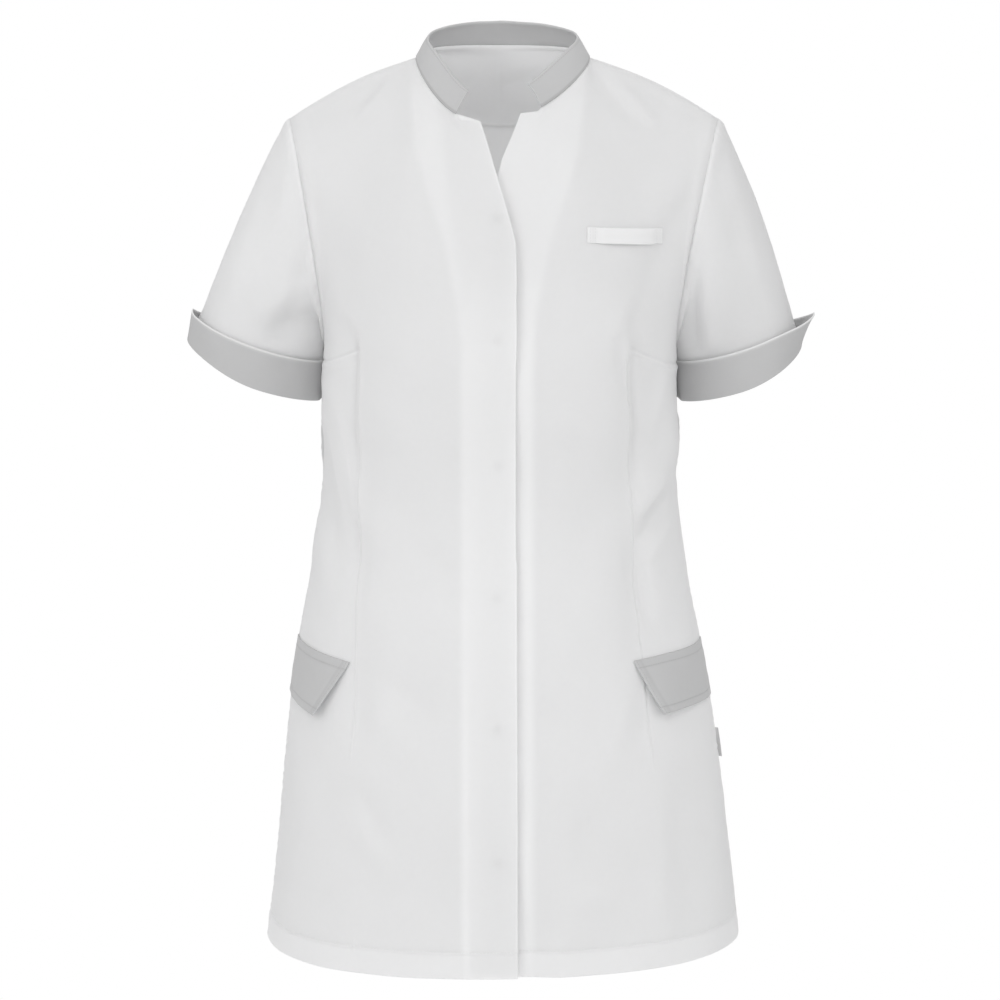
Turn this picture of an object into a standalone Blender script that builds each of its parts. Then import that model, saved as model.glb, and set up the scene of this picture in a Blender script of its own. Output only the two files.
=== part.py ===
# Medical tunic: short-sleeved, snapped down the front, filled out as if worn, and hollow.
# Metres, +Z up. The front faces -Y, the wearer's left side is +X.
# z = 0 is the level of the neck points, where the shoulder seams meet the collar.

from collections import namedtuple
from math import cos, exp, hypot, pi, sin

import bmesh
import bpy
from mathutils import Vector

OBJECT_NAME = "medical_tunic"

# Cloth
WALL = 0.001            # thickness of one cloth wall
GAP = 0.0003            # clearance between neighbouring pieces
LAYER = WALL + GAP      # what one more layer adds

# Lengths down the body
HEM_LEVEL = -0.777
UNDERARM_LEVEL = -0.255
CENTRE_FRONT = -0.002   # the front closes a little to the wearer's right
LAP = 0.016             # each front passes the centre by this much
HEM_TILT = 0.012        # the hem is a little higher on the wearer's left
TILT_TOP = -0.56
SIDE_SEAM_DEPTH = 0.008  # y of the side seams
SQUARENESS = 2.3        # 2 is an ellipse, more is boxier
TILT_EASE = 0.2         # the tilt comes in over this height
CENTRE_EASE_START = -0.02   # from this x, over this width, the sway takes over
CENTRE_EASE = 0.12          # from the place of the centre front
RING_STEPS = 64         # points on a quarter of a section
BODY_CORE = Vector((0, 0, -0.4))    # a point inside the body, which tells out from in

# Horizontal sections of the filled-out body, from the hem up to the underarm
Section = namedtuple("Section", "height half_width front back sway")
SECTIONS = [
    Section(-0.777, 0.2110, 0.152, 0.140, 0.0028),
    Section(-0.700, 0.2020, 0.147, 0.138, 0.0022),
    Section(-0.620, 0.1938, 0.142, 0.134, 0.0016),
    Section(-0.550, 0.1845, 0.135, 0.126, 0.0002),
    Section(-0.490, 0.1738, 0.127, 0.114, -0.0008),
    Section(-0.440, 0.1636, 0.118, 0.101, -0.0010),
    Section(-0.390, 0.1570, 0.111, 0.092, -0.0012),
    Section(-0.330, 0.1545, 0.113, 0.093, 0.0),
    Section(-0.255, 0.1530, 0.123, 0.101, 0.0),
]

# The two halves differ a little, as the garment sits on the figure. The neck rise lifts
# the front neckline, which then also lies a little further back.
Half = namedtuple("Half", "name sign tip_x neck_x neck_rise notch_x")
RIGHT = Half("right", -1, 0.1820, 0.0715, 0.0, 0.0155)
LEFT = Half("left", 1, 0.1885, 0.0765, 0.006, 0.0200)

# Neckline and shoulder
SHOULDER_TIP_LEVEL = -0.053
SHOULDER_BOW = 0.005                        # the shoulder seam's rise over a straight line
NECK_RISE_BACK = 0.45                       # how far a lifted neckline goes back for its rise
NOTCH_CORNER = (0.0, -0.079, -0.0510)       # top corner of each front, above the open V, out by notch_x
COLLAR_END = (0.0360, -0.066, -0.0450)      # where the collar starts
NECK_BACK = (0.0575, 0.007)                 # y and z of the back neck, at the centre
NECK_FRONT_PULL = (0.0540, -0.046, -0.036)  # shapes the seam between collar end and neck point
NECK_SIDE_PULL = 0.028                      # how long the neck seam runs straight at its side
NECK_BACK_PULL = 0.036                      # and across the back
NECK_POINT_LEVEL = -0.001
NECK_SIDE_FALL = 0.007                      # the neck seam drops by this much to the front
NECK_SIDE_RISE = 0.0116                     # and climbs by this much to the back, at its side
NECK_EDGE_SHARE = 0.9                       # the shoulder seam's points lie past this share of neck_x

# How a panel's columns run down from its top edge: the pull from the edge, by place
NOTCH_FALL = (-0.024, -0.019, -0.058)
COLLAR_END_FALL = (0.001, -0.030, -0.055)
NECK_FALL_MIDDLE = (0.012, -0.036, -0.038)
NECK_POINT_FALL = (0.014, -0.052, -0.0195)
BACK_NECK_FALL = (0.0, 0.020, -0.045)
BACK_POINT_FALL = (0.012, 0.050, 0.0105)
BACK_SHOULDER_RISE = 0.007                  # the crest lies behind the shoulder seam
COLUMN_RISE = 0.36                          # how long a column runs on straight above the underarm
ARMHOLE_TURN = 0.55                         # past this share, columns turn to the armhole's course

# Armhole: control points between shoulder tip and underarm
ARMHOLE_UPPER = (-0.004, 0.040)             # x from the tip, y (front negative)
ARMHOLE_ROLL = 0.005                        # lower in front of the tip, higher behind it
ARMHOLE_LOWER = (0.1480, 0.078, -0.215)

# Bust fullness that the bust and waist darts give
BUST = {"x": 0.088, "height": -0.240, "lift": 0.011, "across": 0.058, "along": 0.075}

# Relief fades out over these shares beside the side seam and below the top edge
RELIEF_SIDE_FADE = 0.12
RELIEF_TOP_FADE = 0.25
# Folds and darts: a soft ridge (or trough, with a negative rise) along a line
Fold = namedtuple("Fold", "half x0 z0 x1 z1 width rise")
FOLDS = [
    Fold("right", 0.1195, -0.330, 0.1225, -0.560, 0.012, -0.0025),
    Fold("right", 0.1460, -0.290, 0.1260, -0.385, 0.016, 0.0040),
    Fold("right", 0.1500, -0.350, 0.1300, -0.420, 0.014, -0.0030),
    Fold("left", 0.1130, -0.330, 0.1200, -0.560, 0.012, -0.0025),
    Fold("left", 0.1500, -0.345, 0.1180, -0.385, 0.014, 0.0050),
    Fold("left", 0.1500, -0.375, 0.1200, -0.408, 0.011, -0.0045),
    Fold("left", 0.1200, -0.435, 0.1390, -0.500, 0.013, -0.0030),
    Fold("back", 0.0950, -0.330, 0.1050, -0.500, 0.016, -0.0030),
    Fold("back", 0.1350, -0.330, 0.0950, -0.400, 0.016, 0.0035),
    Fold("back", 0.1100, -0.620, 0.1250, -0.777, 0.022, 0.0035),
]

# Grid of each panel
ROWS_BELOW = 19         # from the hem to the underarm
ROWS_ABOVE = 10         # from the underarm to the neck and shoulder
COLUMNS_TO_COLLAR = 1
COLUMNS_TO_NECK = 6
COLUMNS = 14
BACK_COLUMNS_TO_NECK = 6
SEAM_STRIP = 0.004      # the last column before a side seam is this narrow
SHOULDER_STRIP = 0.025  # and so is the last row before the shoulder, as a share
RELAX_ROUNDS = 8        # how far the chest and shoulders are evened out
SPOT_ROUNDS = 120       # steps of the search for a place on a grid
SPOT_STEP = 0.035
SPOT_START = (0.7, 0.4) # where that search starts, as shares of rows and columns
HEIGHT_STEP = 0.01      # step for the direction of a column at the underarm
SHARE_STEP = 0.002      # step for the surface's direction

# Sleeves, in each half's own x. The fall is the pull from the hem up to the shoulder.
Sleeve = namedtuple("Sleeve", "half outer_x outer_z inner_x inner_z fall_x fall_z corner_top corner_foot")
SLEEVES = [
    Sleeve(RIGHT, 0.2590, -0.218, 0.146, -0.262, -0.024, 0.060, 0.004, 0.006),
    Sleeve(LEFT, 0.2545, -0.222, 0.148, -0.262, -0.017, 0.066, 0.012, 0.001),
]
SLEEVE_FRONT = -0.065   # how far the lower edge bulges to the front and to the back
SLEEVE_BACK = 0.035
SLEEVE_INNER_Y = 0.050  # the inner end of the lower edge lies behind the side seam
SLEEVE_DIP = 0.010      # the lower edge hangs lower between its two ends
SHOULDER_OUT = (0.013, 0.0, -0.012)     # how the sleeve leaves the shoulder tip
SLEEVE_COLUMNS = 12     # on each of front and back
SLEEVE_ROWS = 7
SLEEVE_SHIFT = 0.0015   # the sleeve's head starts this far outside the armhole
SLEEVE_CLEAR = 0.0045   # room kept between a sleeve and the side of the body
SLEEVE_SLACK = 0.3      # the room shrinks by this much for each step above the underarm
SLEEVE_FULLNESS = 0.86  # 1 makes its lower edge elliptic, less is fuller
SIDE_OUT = (0.016, -0.008)      # how the sleeve leaves the armhole at its side, x and y
SIDE_FALL = (-0.018, 0.0, 0.030)    # and how it comes down there
SHORT_COLUMN = 0.06     # columns shorter than this leave the armhole less

# Turn-up cuffs
CUFF_DEPTH = 0.034
CUFF_FLARE = 0.0035     # cuff and sleeve widen by this much towards the lower edge
CUFF_STAND = 0.0022     # the cuff's upper edge stands off the sleeve
CUFF_CORNER_SHARE = 0.72    # the cuff is this much of its depth at the pressed corner
CUFF_RUN = (0.12, 0.0, -0.99)   # the direction in which it goes down
CUFF_ROWS = 3
SLEEVE_END = 0.9        # the sleeve ends inside the cuff, at this share of its depth

# Stand collar
COLLAR_SIDE_HEIGHT = 0.0255
COLLAR_END_HEIGHT = 0.0235
COLLAR_LEAN_END = 0.50      # inward, for each step up
COLLAR_LEAN_SIDE = 0.62
COLLAR_LEAN_BACK = 0.58
COLLAR_DIP = 0.29           # its top edge is this much lower at the sides
COLLAR_DIP_AT = 1.05
COLLAR_DIP_FRONT = 0.45     # how far the dip reaches to the front
COLLAR_DIP_BACK = 0.65
COLLAR_END_SLANT = 0.35     # the front ends slant towards the centre
COLLAR_FRONT_SET = 0.23     # and the front stands back
COLLAR_END_SHARE = 0.8      # the slant fades out over this share of the front
COLLAR_COLUMNS = 14     # on each side
COLLAR_ROWS = 3
COLLAR_LIFT = 0.0009    # the collar's foot above the neck seam

# Back neck facing
FACING_ROWS = 4         # rows of the back's grid that it covers
FACING_EASE = 0.0005    # a little more room where the neck curves

# Front facing strip
STRIP_REACH = 0.026     # past the centre, away from the lap edge
STRIP_EASE = 0.0002

# Press snaps
SNAP_LEVELS = (-0.131, -0.231, -0.340, -0.452, -0.563, -0.677)
SNAP_RADIUS = 0.0045
SNAP_THICKNESS = 0.0016
SNAP_EASE = 0.0006      # a little more room before each snap, and twice this behind it
# How far the underlap lies behind the lap
LAP_DROP = 2 * LAYER + STRIP_EASE + SNAP_THICKNESS + 3 * SNAP_EASE + GAP
LAP_EASE_START = 0.019  # from this x on, the underlap comes back to the body's surface
LAP_EASE_END = 0.048

# Pocket flaps, in each half's own x; each drop is how far a corner hangs below the level line
Flap = namedtuple("Flap", "half top_x bottom_x inner_top inner_foot outer_top outer_foot")
FLAPS = [
    Flap(RIGHT, 0.1304, 0.1544, 0.0070, 0.0044, 0.0022, -0.0014),
    Flap(LEFT, 0.1165, 0.1350, 0.0040, -0.0009, 0.0048, 0.0035),
]
FLAP_TOP = -0.506
FLAP_DEPTH = 0.051
FLAP_LIFT = 0.0060      # the loose front lower corner stands off by this much
FLAP_EASE = 0.0002
FLAP_SIDE_SHARE = 0.995 # the flap reaches this share of the front, almost to the side seam
FLAP_COLUMNS = 8
FLAP_ROWS = 4

# Chest loop, on the wearer's left
LOOP_LEFT_END = (0.0735, -0.1455)
LOOP_RIGHT_END = (0.1375, -0.1490)
LOOP_WIDTH = 0.0125
LOOP_BOW = 0.0025
LOOP_EASE = 0.0003
LOOP_COLUMNS = 8

# Seam tab on the wearer's left side
TAB_TOP = -0.594
TAB_HEIGHT = 0.026
TAB_REACH = 0.004

WHITE = (0.80, 0.80, 0.81)
GREY = (0.50, 0.50, 0.51)
STEEL = (0.62, 0.62, 0.63)


def clear_scene():
    for item in list(bpy.data.objects):
        bpy.data.objects.remove(item, do_unlink=True)


def cloth_material(name, colour, roughness=0.9, metallic=0.0):
    material = bpy.data.materials.new(name)
    material.use_nodes = True
    shader = material.node_tree.nodes["Principled BSDF"]
    shader.inputs["Base Color"].default_value = (*colour, 1)
    shader.inputs["Roughness"].default_value = roughness
    shader.inputs["Metallic"].default_value = metallic
    return material


def smooth(value):
    value = min(1.0, max(0.0, value))
    return value * value * (3 - 2 * value)


def mix(first, second, share):
    return first + (second - first) * share


def bezier(p0, p1, p2, p3, t):
    s = 1 - t
    return p0 * s**3 + p1 * (3 * s * s * t) + p2 * (3 * s * t * t) + p3 * t**3


# --- the filled-out body -------------------------------------------------------

def section_at(height):
    # Catmull-Rom through the rows of SECTIONS
    rows = SECTIONS
    index = 0
    while index < len(rows) - 2 and height > rows[index + 1].height:
        index += 1
    low, high = rows[index], rows[index + 1]
    before = rows[max(index - 1, 0)]
    after = rows[min(index + 2, len(rows) - 1)]
    span = high.height - low.height
    t = (height - low.height) / span
    values = [height]
    for column in range(1, len(low)):
        slope_low = (high[column] - before[column]) / (high.height - before.height) * span
        slope_high = (after[column] - low[column]) / (after.height - low.height) * span
        values.append(
            (2 * t**3 - 3 * t**2 + 1) * low[column] + (t**3 - 2 * t**2 + t) * slope_low
            + (3 * t**2 - 2 * t**3) * high[column] + (t**3 - t**2) * slope_high)
    return Section(*values)


ring_cache = {}


def quarter_ring(height, is_back):
    # Points from the centre line to the side seam, with the length run so far
    key = (round(height, 6), is_back)
    if key not in ring_cache:
        section = section_at(height)
        depth = section.back - SIDE_SEAM_DEPTH if is_back else -section.front - SIDE_SEAM_DEPTH
        power = 2 / SQUARENESS
        points = []
        run = 0.0
        for step in range(RING_STEPS + 1):
            angle = pi / 2 * step / RING_STEPS
            x = section.half_width * sin(angle) ** power
            y = SIDE_SEAM_DEPTH + depth * max(cos(angle), 0.0) ** power
            if points:
                run += hypot(x - points[-1][0], y - points[-1][1])
            points.append((x, y, run))
        ring_cache[key] = points
    return ring_cache[key]


def ring_length(height, is_back):
    return quarter_ring(height, is_back)[-1][2]


def ring_point(height, reach, is_back):
    # The point at a length from the centre line; a negative reach lies past it
    points = quarter_ring(height, is_back)
    length = min(abs(reach), points[-1][2])
    index = 1
    while points[index][2] < length:
        index += 1
    x0, y0, run0 = points[index - 1]
    x1, y1, run1 = points[index]
    share = (length - run0) / (run1 - run0)
    x = mix(x0, x1, share)
    return Vector((x if reach >= 0 else -x, mix(y0, y1, share), height))


def body_half_width(height, y):
    # Outer x of the body's surface at a depth y
    section = section_at(min(max(height, HEM_LEVEL), UNDERARM_LEVEL))
    depth = section.back - SIDE_SEAM_DEPTH if y > SIDE_SEAM_DEPTH else section.front + SIDE_SEAM_DEPTH
    inside = min(abs(y - SIDE_SEAM_DEPTH) / depth, 1.0)
    return section.half_width * (1 - inside**SQUARENESS) ** (1 / SQUARENESS)


# --- neck and shoulder ------------------------------------------------------------

def neck_lift(half):
    return Vector((0, NECK_RISE_BACK * half.neck_rise, half.neck_rise))


def collar_end(half):
    return Vector(COLLAR_END) + neck_lift(half)


def neck_point(half):
    return Vector((half.neck_x, 0.0, NECK_POINT_LEVEL))


def neck_seam(half, share):
    # Share 0 is the collar's front end, 1 the neck point, 2 the centre back
    side = neck_point(half)
    if share <= 1:
        start = collar_end(half)
        pull = Vector(NECK_FRONT_PULL) + neck_lift(half)
        return bezier(start, pull, side - Vector((0, NECK_SIDE_PULL, NECK_SIDE_FALL)), side, share)
    centre = Vector((0, *NECK_BACK))
    over = side + Vector((0, NECK_SIDE_PULL, NECK_SIDE_RISE))
    return bezier(side, over, centre + Vector((NECK_BACK_PULL, 0, 0)), centre, share - 1)


def shoulder_tip(half):
    return Vector((half.tip_x, 0.0, SHOULDER_TIP_LEVEL))


def armhole_controls(half, is_back):
    # From the underarm up to the shoulder tip
    face = 1 if is_back else -1
    under = ring_point(UNDERARM_LEVEL, ring_length(UNDERARM_LEVEL, is_back), is_back)
    x, y, z = ARMHOLE_LOWER
    lower = Vector((x, face * y, z))
    dx, y = ARMHOLE_UPPER
    upper = Vector((half.tip_x + dx, face * y, SHOULDER_TIP_LEVEL + face * ARMHOLE_ROLL))
    return under, lower, upper, shoulder_tip(half)


def front_top(half, u):
    # The top edge of a front and the pull that each column has there
    u_collar = COLUMNS_TO_COLLAR / COLUMNS
    u_neck = COLUMNS_TO_NECK / COLUMNS
    at_end = Vector(COLLAR_END_FALL)
    at_point = Vector(NECK_POINT_FALL)
    if u <= u_collar:
        share = u / u_collar
        corner = Vector(NOTCH_CORNER) + neck_lift(half) + Vector((half.notch_x, 0, 0))
        return mix(corner, collar_end(half), share), mix(Vector(NOTCH_FALL), at_end, share)
    if u <= u_neck:
        share = (u - u_collar) / (u_neck - u_collar)
        middle = Vector(NECK_FALL_MIDDLE) * 2 - (at_end + at_point) / 2
        pull = mix(mix(at_end, middle, share), mix(middle, at_point, share), share)
        return neck_seam(half, share), pull
    share = (u - u_neck) / (1 - u_neck)
    upper, tip = armhole_controls(half, False)[2:]
    return shoulder_point(half, share), mix(at_point, upper - tip, share)


def back_top(half, u):
    u_neck = BACK_COLUMNS_TO_NECK / COLUMNS
    at_point = Vector(BACK_POINT_FALL)
    if u <= u_neck:
        share = u / u_neck
        return neck_seam(half, 2 - share), mix(Vector(BACK_NECK_FALL), at_point, smooth(share))
    share = (u - u_neck) / (1 - u_neck)
    upper, tip = armhole_controls(half, True)[2:]
    pull = mix(at_point, upper - tip, share)
    pull.z += BACK_SHOULDER_RISE * sin(pi * share)
    return shoulder_point(half, share), pull


def shoulder_point(half, share):
    point = mix(neck_point(half), shoulder_tip(half), share)
    point.z += SHOULDER_BOW * sin(pi * share)
    return point


# --- panels ------------------------------------------------------------------------

def column_reach(height, u, is_back):
    # Length along the ring at share u of the panel
    start = 0.0 if is_back else -LAP
    end = ring_length(height, is_back)
    return mix(start, end, u)


def plain_point(half, u, v, is_back):
    # v runs 0 to 1 from the hem to the underarm, and 1 to 2 on to the top edge
    if v <= 1:
        height = mix(HEM_LEVEL, UNDERARM_LEVEL, v)
        return ring_point(height, column_reach(height, u, is_back), is_back)
    foot = ring_point(UNDERARM_LEVEL, column_reach(UNDERARM_LEVEL, u, is_back), is_back)
    low_level = UNDERARM_LEVEL - HEIGHT_STEP
    below = ring_point(low_level, column_reach(low_level, u, is_back), is_back)
    top, pull = back_top(half, u) if is_back else front_top(half, u)
    under, lower = armhole_controls(half, is_back)[:2]
    rise = (foot - below) / HEIGHT_STEP * COLUMN_RISE * (top.z - foot.z)
    start = mix(rise, lower - under, smooth((u - ARMHOLE_TURN) / (1 - ARMHOLE_TURN)))
    return bezier(foot, foot + start, top + pull, top, v - 1)


def surface_normal(half, u, v, is_back):
    step = SHARE_STEP
    along = plain_point(half, min(u + step, 1), v, is_back) - plain_point(half, max(u - step, 0), v, is_back)
    up = plain_point(half, u, min(v + step, 2), is_back) - plain_point(half, u, max(v - step, 0), is_back)
    normal = along.cross(up)
    if is_back:
        normal.negate()
    return normal.normalized()


def line_distance(x, z, fold):
    # Distance from a place on the front or back to the fold's line
    dx, dz = fold.x1 - fold.x0, fold.z1 - fold.z0
    share = ((x - fold.x0) * dx + (z - fold.z0) * dz) / (dx * dx + dz * dz)
    share = min(1.0, max(0.0, share))
    return hypot(x - fold.x0 - share * dx, z - fold.z0 - share * dz)


def relief(half, point, is_back):
    # How far folds, darts and the bust fullness move a point out
    out = 0.0
    place = "back" if is_back else half.name
    for fold in FOLDS:
        if fold.half == place:
            out += fold.rise * exp(-(line_distance(point.x, point.z, fold) / fold.width) ** 2)
    if not is_back:
        across = (point.x - BUST["x"]) / BUST["across"]
        along = (point.z - BUST["height"]) / BUST["along"]
        out += BUST["lift"] * exp(-across * across - along * along)
    return out


def lap_drop(half, x):
    # The underlap lies behind the lap, its snaps and facing
    if half is not LEFT:
        return 0.0
    return LAP_DROP * (1 - smooth((x - LAP_EASE_START) / (LAP_EASE_END - LAP_EASE_START)))


def panel_point(half, u, v, is_back, out=0.0):
    # A point of the panel's outer face, in world axes, moved out by a distance
    point = plain_point(half, u, v, is_back)
    normal = surface_normal(half, u, v, is_back)
    edge = smooth((1 - u) / RELIEF_SIDE_FADE) * smooth((2 - v) / RELIEF_TOP_FADE)
    move = out + relief(half, point, is_back) * edge
    if not is_back:
        move -= lap_drop(half, point.x)
    point = point + normal * move
    return to_world(half, point)


def to_world(half, point):
    # Mirrors a half's point to its side, with the sway and the slight tilt of the hem
    section = section_at(min(max(point.z, HEM_LEVEL), UNDERARM_LEVEL))
    front = smooth((abs(point.x) - CENTRE_EASE_START) / CENTRE_EASE)
    shift = mix(CENTRE_FRONT, section.sway, front) if point.y < 0 else section.sway
    x = half.sign * point.x + shift
    return Vector((x, point.y, point.z + HEM_TILT * x * smooth((TILT_TOP - point.z) / TILT_EASE)))


def column_shares():
    # Even columns, with a narrow last one beside the side seam
    last = 1 - SEAM_STRIP / ring_length(UNDERARM_LEVEL, False)
    return [index / COLUMNS for index in range(COLUMNS)] + [last, 1.0]


def row_shares():
    # Even rows below and above the underarm, with a narrow last one beside the shoulder seam
    below = [index / ROWS_BELOW for index in range(ROWS_BELOW)]
    above = [1 + index / ROWS_ABOVE for index in range(ROWS_ABOVE)]
    return below + above + [2 - SHOULDER_STRIP, 2.0]


def trim_edges(rows, half, is_back):
    # Draws the side seam and shoulder edges back by half a gap
    face = 1 if is_back else -1
    for row in rows:
        row[-1].y += face * GAP / 2
    for point in rows[-1]:
        if point.y * face < GAP and abs(point.x) > half.neck_x * NECK_EDGE_SHARE:
            point.y += face * GAP / 2


def relax(rows, first_row):
    # Evens out a grid's inner points above a row, and leaves its edges where they are
    for _ in range(RELAX_ROUNDS):
        before = [list(row) for row in rows]
        for i in range(first_row, len(rows) - 2):
            for j in range(1, len(rows[i]) - 2):
                around = before[i][j - 1] + before[i][j + 1] + before[i - 1][j] + before[i + 1][j]
                rows[i][j] = (before[i][j] + around / 4) / 2


def half_grid(half, is_back):
    rows = [[panel_point(half, u, v, is_back) for u in column_shares()] for v in row_shares()]
    relax(rows, ROWS_BELOW - 1)
    trim_edges(rows, half, is_back)
    return rows


def grid_spot(rows, i, j):
    # The point of a grid at fractional row and column numbers
    row, column = min(int(i), len(rows) - 2), min(int(j), len(rows[0]) - 2)
    low = mix(rows[row][column], rows[row][column + 1], j - column)
    high = mix(rows[row + 1][column], rows[row + 1][column + 1], j - column)
    return mix(low, high, i - row)


def find_spot(rows, x, z):
    # The row and column numbers at which a half's grid has a given world x and z
    i, j = len(rows) * SPOT_START[0], len(rows[0]) * SPOT_START[1]
    turn = 1 if rows[0][-1].x > 0 else -1
    for _ in range(SPOT_ROUNDS):
        point = grid_spot(rows, i, j)
        i = min(len(rows) - 1.0, max(0.0, i + (z - point.z) / SPOT_STEP))
        j = min(len(rows[0]) - 1.0, max(0.0, j + turn * (x - point.x) / SPOT_STEP))
    return i, j


def moved_rows(rows, out, core):
    # A grid moved out along its own normals, away from a core point
    moved = []
    for i, row in enumerate(rows):
        low = rows[max(i - 1, 0)]
        high = rows[min(i + 1, len(rows) - 1)]
        points = []
        for j, point in enumerate(row):
            along = row[min(j + 1, len(row) - 1)] - row[max(j - 1, 0)]
            normal = along.cross(high[j] - low[j]).normalized()
            if normal.dot(point - core) < 0:
                normal.negate()
            points.append(point + normal * out)
        moved.append(points)
    return moved


# --- meshes ------------------------------------------------------------------------

def add_object(name, mesh, material, collection):
    item = bpy.data.objects.new(name, mesh)
    mesh.materials.append(material)
    collection.objects.link(item)
    return item


def thicken(item, wall):
    modifier = item.modifiers.new("wall", "SOLIDIFY")
    modifier.thickness = wall
    modifier.offset = -1


def cloth(name, rows, inside, material, collection, wall=WALL, closed=False):
    # An open surface through rows of points, given its wall towards the inside
    bm = bmesh.new()
    grid = [[bm.verts.new(point) for point in row] for row in rows]
    width = len(rows[0])
    for low, high in zip(grid, grid[1:]):
        for index in range(width if closed else width - 1):
            after = (index + 1) % width
            bm.faces.new((low[index], low[after], high[after], high[index]))
    bm.normal_update()
    outward = sum(face.normal.dot(face.calc_center_median() - inside) for face in bm.faces)
    if outward < 0:
        bmesh.ops.reverse_faces(bm, faces=bm.faces)
    mesh = bpy.data.meshes.new(name)
    bm.to_mesh(mesh)
    bm.free()
    mesh.shade_smooth()
    item = add_object(name, mesh, material, collection)
    thicken(item, wall)
    return item


def make_front(half, material, collection):
    return cloth("front_" + half.name, half_grid(half, False), BODY_CORE, material, collection)


def make_front_strip(material, collection):
    # The facing behind the lap edge of the right front
    length = ring_length(UNDERARM_LEVEL, False) + LAP
    widest = (LAP + STRIP_REACH) / length * COLUMNS
    whole = int(widest)
    rows = []
    for points in moved_rows(half_grid(RIGHT, False), -LAYER - STRIP_EASE, BODY_CORE):
        rows.append(points[:whole + 1] + [mix(points[whole], points[whole + 1], widest - whole)])
    return cloth("front_facing_right", rows, BODY_CORE, material, collection)


def back_rows():
    # Both halves of the back as one grid, from side seam to side seam
    rows = []
    for right_row, left_row in zip(half_grid(RIGHT, True), half_grid(LEFT, True)):
        centre = (right_row[0] + left_row[0]) / 2
        rows.append(right_row[:0:-1] + [centre] + left_row[1:])
    return rows


def make_back(material, collection):
    return cloth("back", back_rows(), BODY_CORE, material, collection)


def make_back_facing(material, collection):
    middle = COLUMNS + 1
    rows = []
    for row in moved_rows(back_rows(), -LAYER - FACING_EASE, BODY_CORE)[-FACING_ROWS - 1:]:
        rows.append(row[middle - BACK_COLUMNS_TO_NECK:middle + BACK_COLUMNS_TO_NECK + 1])
    return cloth("back_facing", rows, BODY_CORE, material, collection)


# --- collar ------------------------------------------------------------------------

def collar_lean(foot, share):
    # The direction in which the collar stands up from its foot
    inward = Vector((-foot.x, -foot.y, 0)).normalized()
    lean_front = mix(COLLAR_LEAN_END, COLLAR_LEAN_SIDE, smooth(share))
    lean = Vector((0, 0, 1)) + inward * mix(lean_front, COLLAR_LEAN_BACK, smooth(share - 1))
    front = 1 - smooth(share)
    slant = COLLAR_END_SLANT * max(1 - share / COLLAR_END_SHARE, 0.0)
    lean += Vector((-slant, COLLAR_FRONT_SET * front, 0))
    return lean.normalized()


def collar_height(share):
    reach = COLLAR_DIP_FRONT if share < COLLAR_DIP_AT else COLLAR_DIP_BACK
    dip = COLLAR_DIP * exp(-((share - COLLAR_DIP_AT) / reach) ** 2)
    return mix(COLLAR_END_HEIGHT, COLLAR_SIDE_HEIGHT, smooth(share / COLLAR_END_SHARE)) * (1 - dip)


def make_collar(material, collection):
    rows = []
    for level in range(COLLAR_ROWS + 1):
        row = []
        for half in (RIGHT, LEFT):
            points = []
            for index in range(COLLAR_COLUMNS + 1):
                share = 2 * index / COLLAR_COLUMNS
                foot = neck_seam(half, share)
                lean = collar_lean(foot, share)
                height = collar_height(share) * level / COLLAR_ROWS
                point = foot + Vector((0, 0, COLLAR_LIFT)) + lean * height
                points.append(to_world(half, point))
            row = points if half is RIGHT else row + points[-2::-1]
        rows.append(row)
    return cloth("collar", rows, Vector((0, 0, 0)), material, collection)


# --- sleeves and cuffs ------------------------------------------------------------------

def armhole_ring(half, columns):
    # Down the front of the armhole and up its back, one point for each column
    ring = []
    for index in range(2 * columns):
        is_back = index > columns
        t = 1 - index / columns if index <= columns else index / columns - 1
        controls = armhole_controls(half, is_back)
        ring.append(bezier(*controls, t))
    return ring


def keep_off_body(point, clear):
    # Moves a point of a sleeve out, past the side of the body
    over = max(point.z - UNDERARM_LEVEL, 0.0)
    point.x = max(point.x, body_half_width(point.z, point.y) + clear - SLEEVE_SLACK * over)


def sleeve_ring(sleeve, columns, grow, clear):
    # The sleeve's lower edge: a pressed corner outside, flattened beside the body
    centre_x = (sleeve.outer_x + sleeve.inner_x) / 2
    half_x = (sleeve.outer_x - sleeve.inner_x) / 2
    ring = []
    for index in range(2 * columns):
        is_back = index > columns
        turn = pi * index / columns
        across = cos(turn)
        bulge = abs(sin(turn)) ** SLEEVE_FULLNESS
        share = (1 - across) / 2
        depth = SLEEVE_BACK if is_back else SLEEVE_FRONT
        x = centre_x + half_x * across
        y = SLEEVE_INNER_Y * share + depth * bulge
        z = mix(sleeve.outer_z, sleeve.inner_z, share) - SLEEVE_DIP * bulge
        away = Vector((across, bulge * (1 if is_back else -1), 0)).normalized()
        point = Vector((x, y, z)) + away * grow
        keep_off_body(point, clear)
        ring.append(point)
    return ring


def sleeve_rows(sleeve, columns, rows):
    head = armhole_ring(sleeve.half, columns)
    hem = sleeve_ring(sleeve, columns, 0.0, SLEEVE_CLEAR)
    grid = []
    for level in range(rows + 1):
        t = level / rows
        row = []
        for index, (start, end) in enumerate(zip(head, hem)):
            turn = pi * index / columns
            top = max(cos(turn), 0.0)
            first = start + Vector((SLEEVE_SHIFT, 0, 0))
            side_out = Vector((SIDE_OUT[0], SIDE_OUT[1] * sin(turn), 0.0))
            out = mix(side_out, Vector(SHOULDER_OUT), top)
            up = mix(Vector(SIDE_FALL), Vector((sleeve.fall_x, 0.0, sleeve.fall_z)), top)
            size = min(1.0, (end - first).length / SHORT_COLUMN)
            point = bezier(first, first + out * size, end + up * size, end, t)
            keep_off_body(point, mix(SLEEVE_SHIFT, SLEEVE_CLEAR, min(1.0, 3 * t)))
            row.append(point)
        grid.append(row)
    return grid


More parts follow.
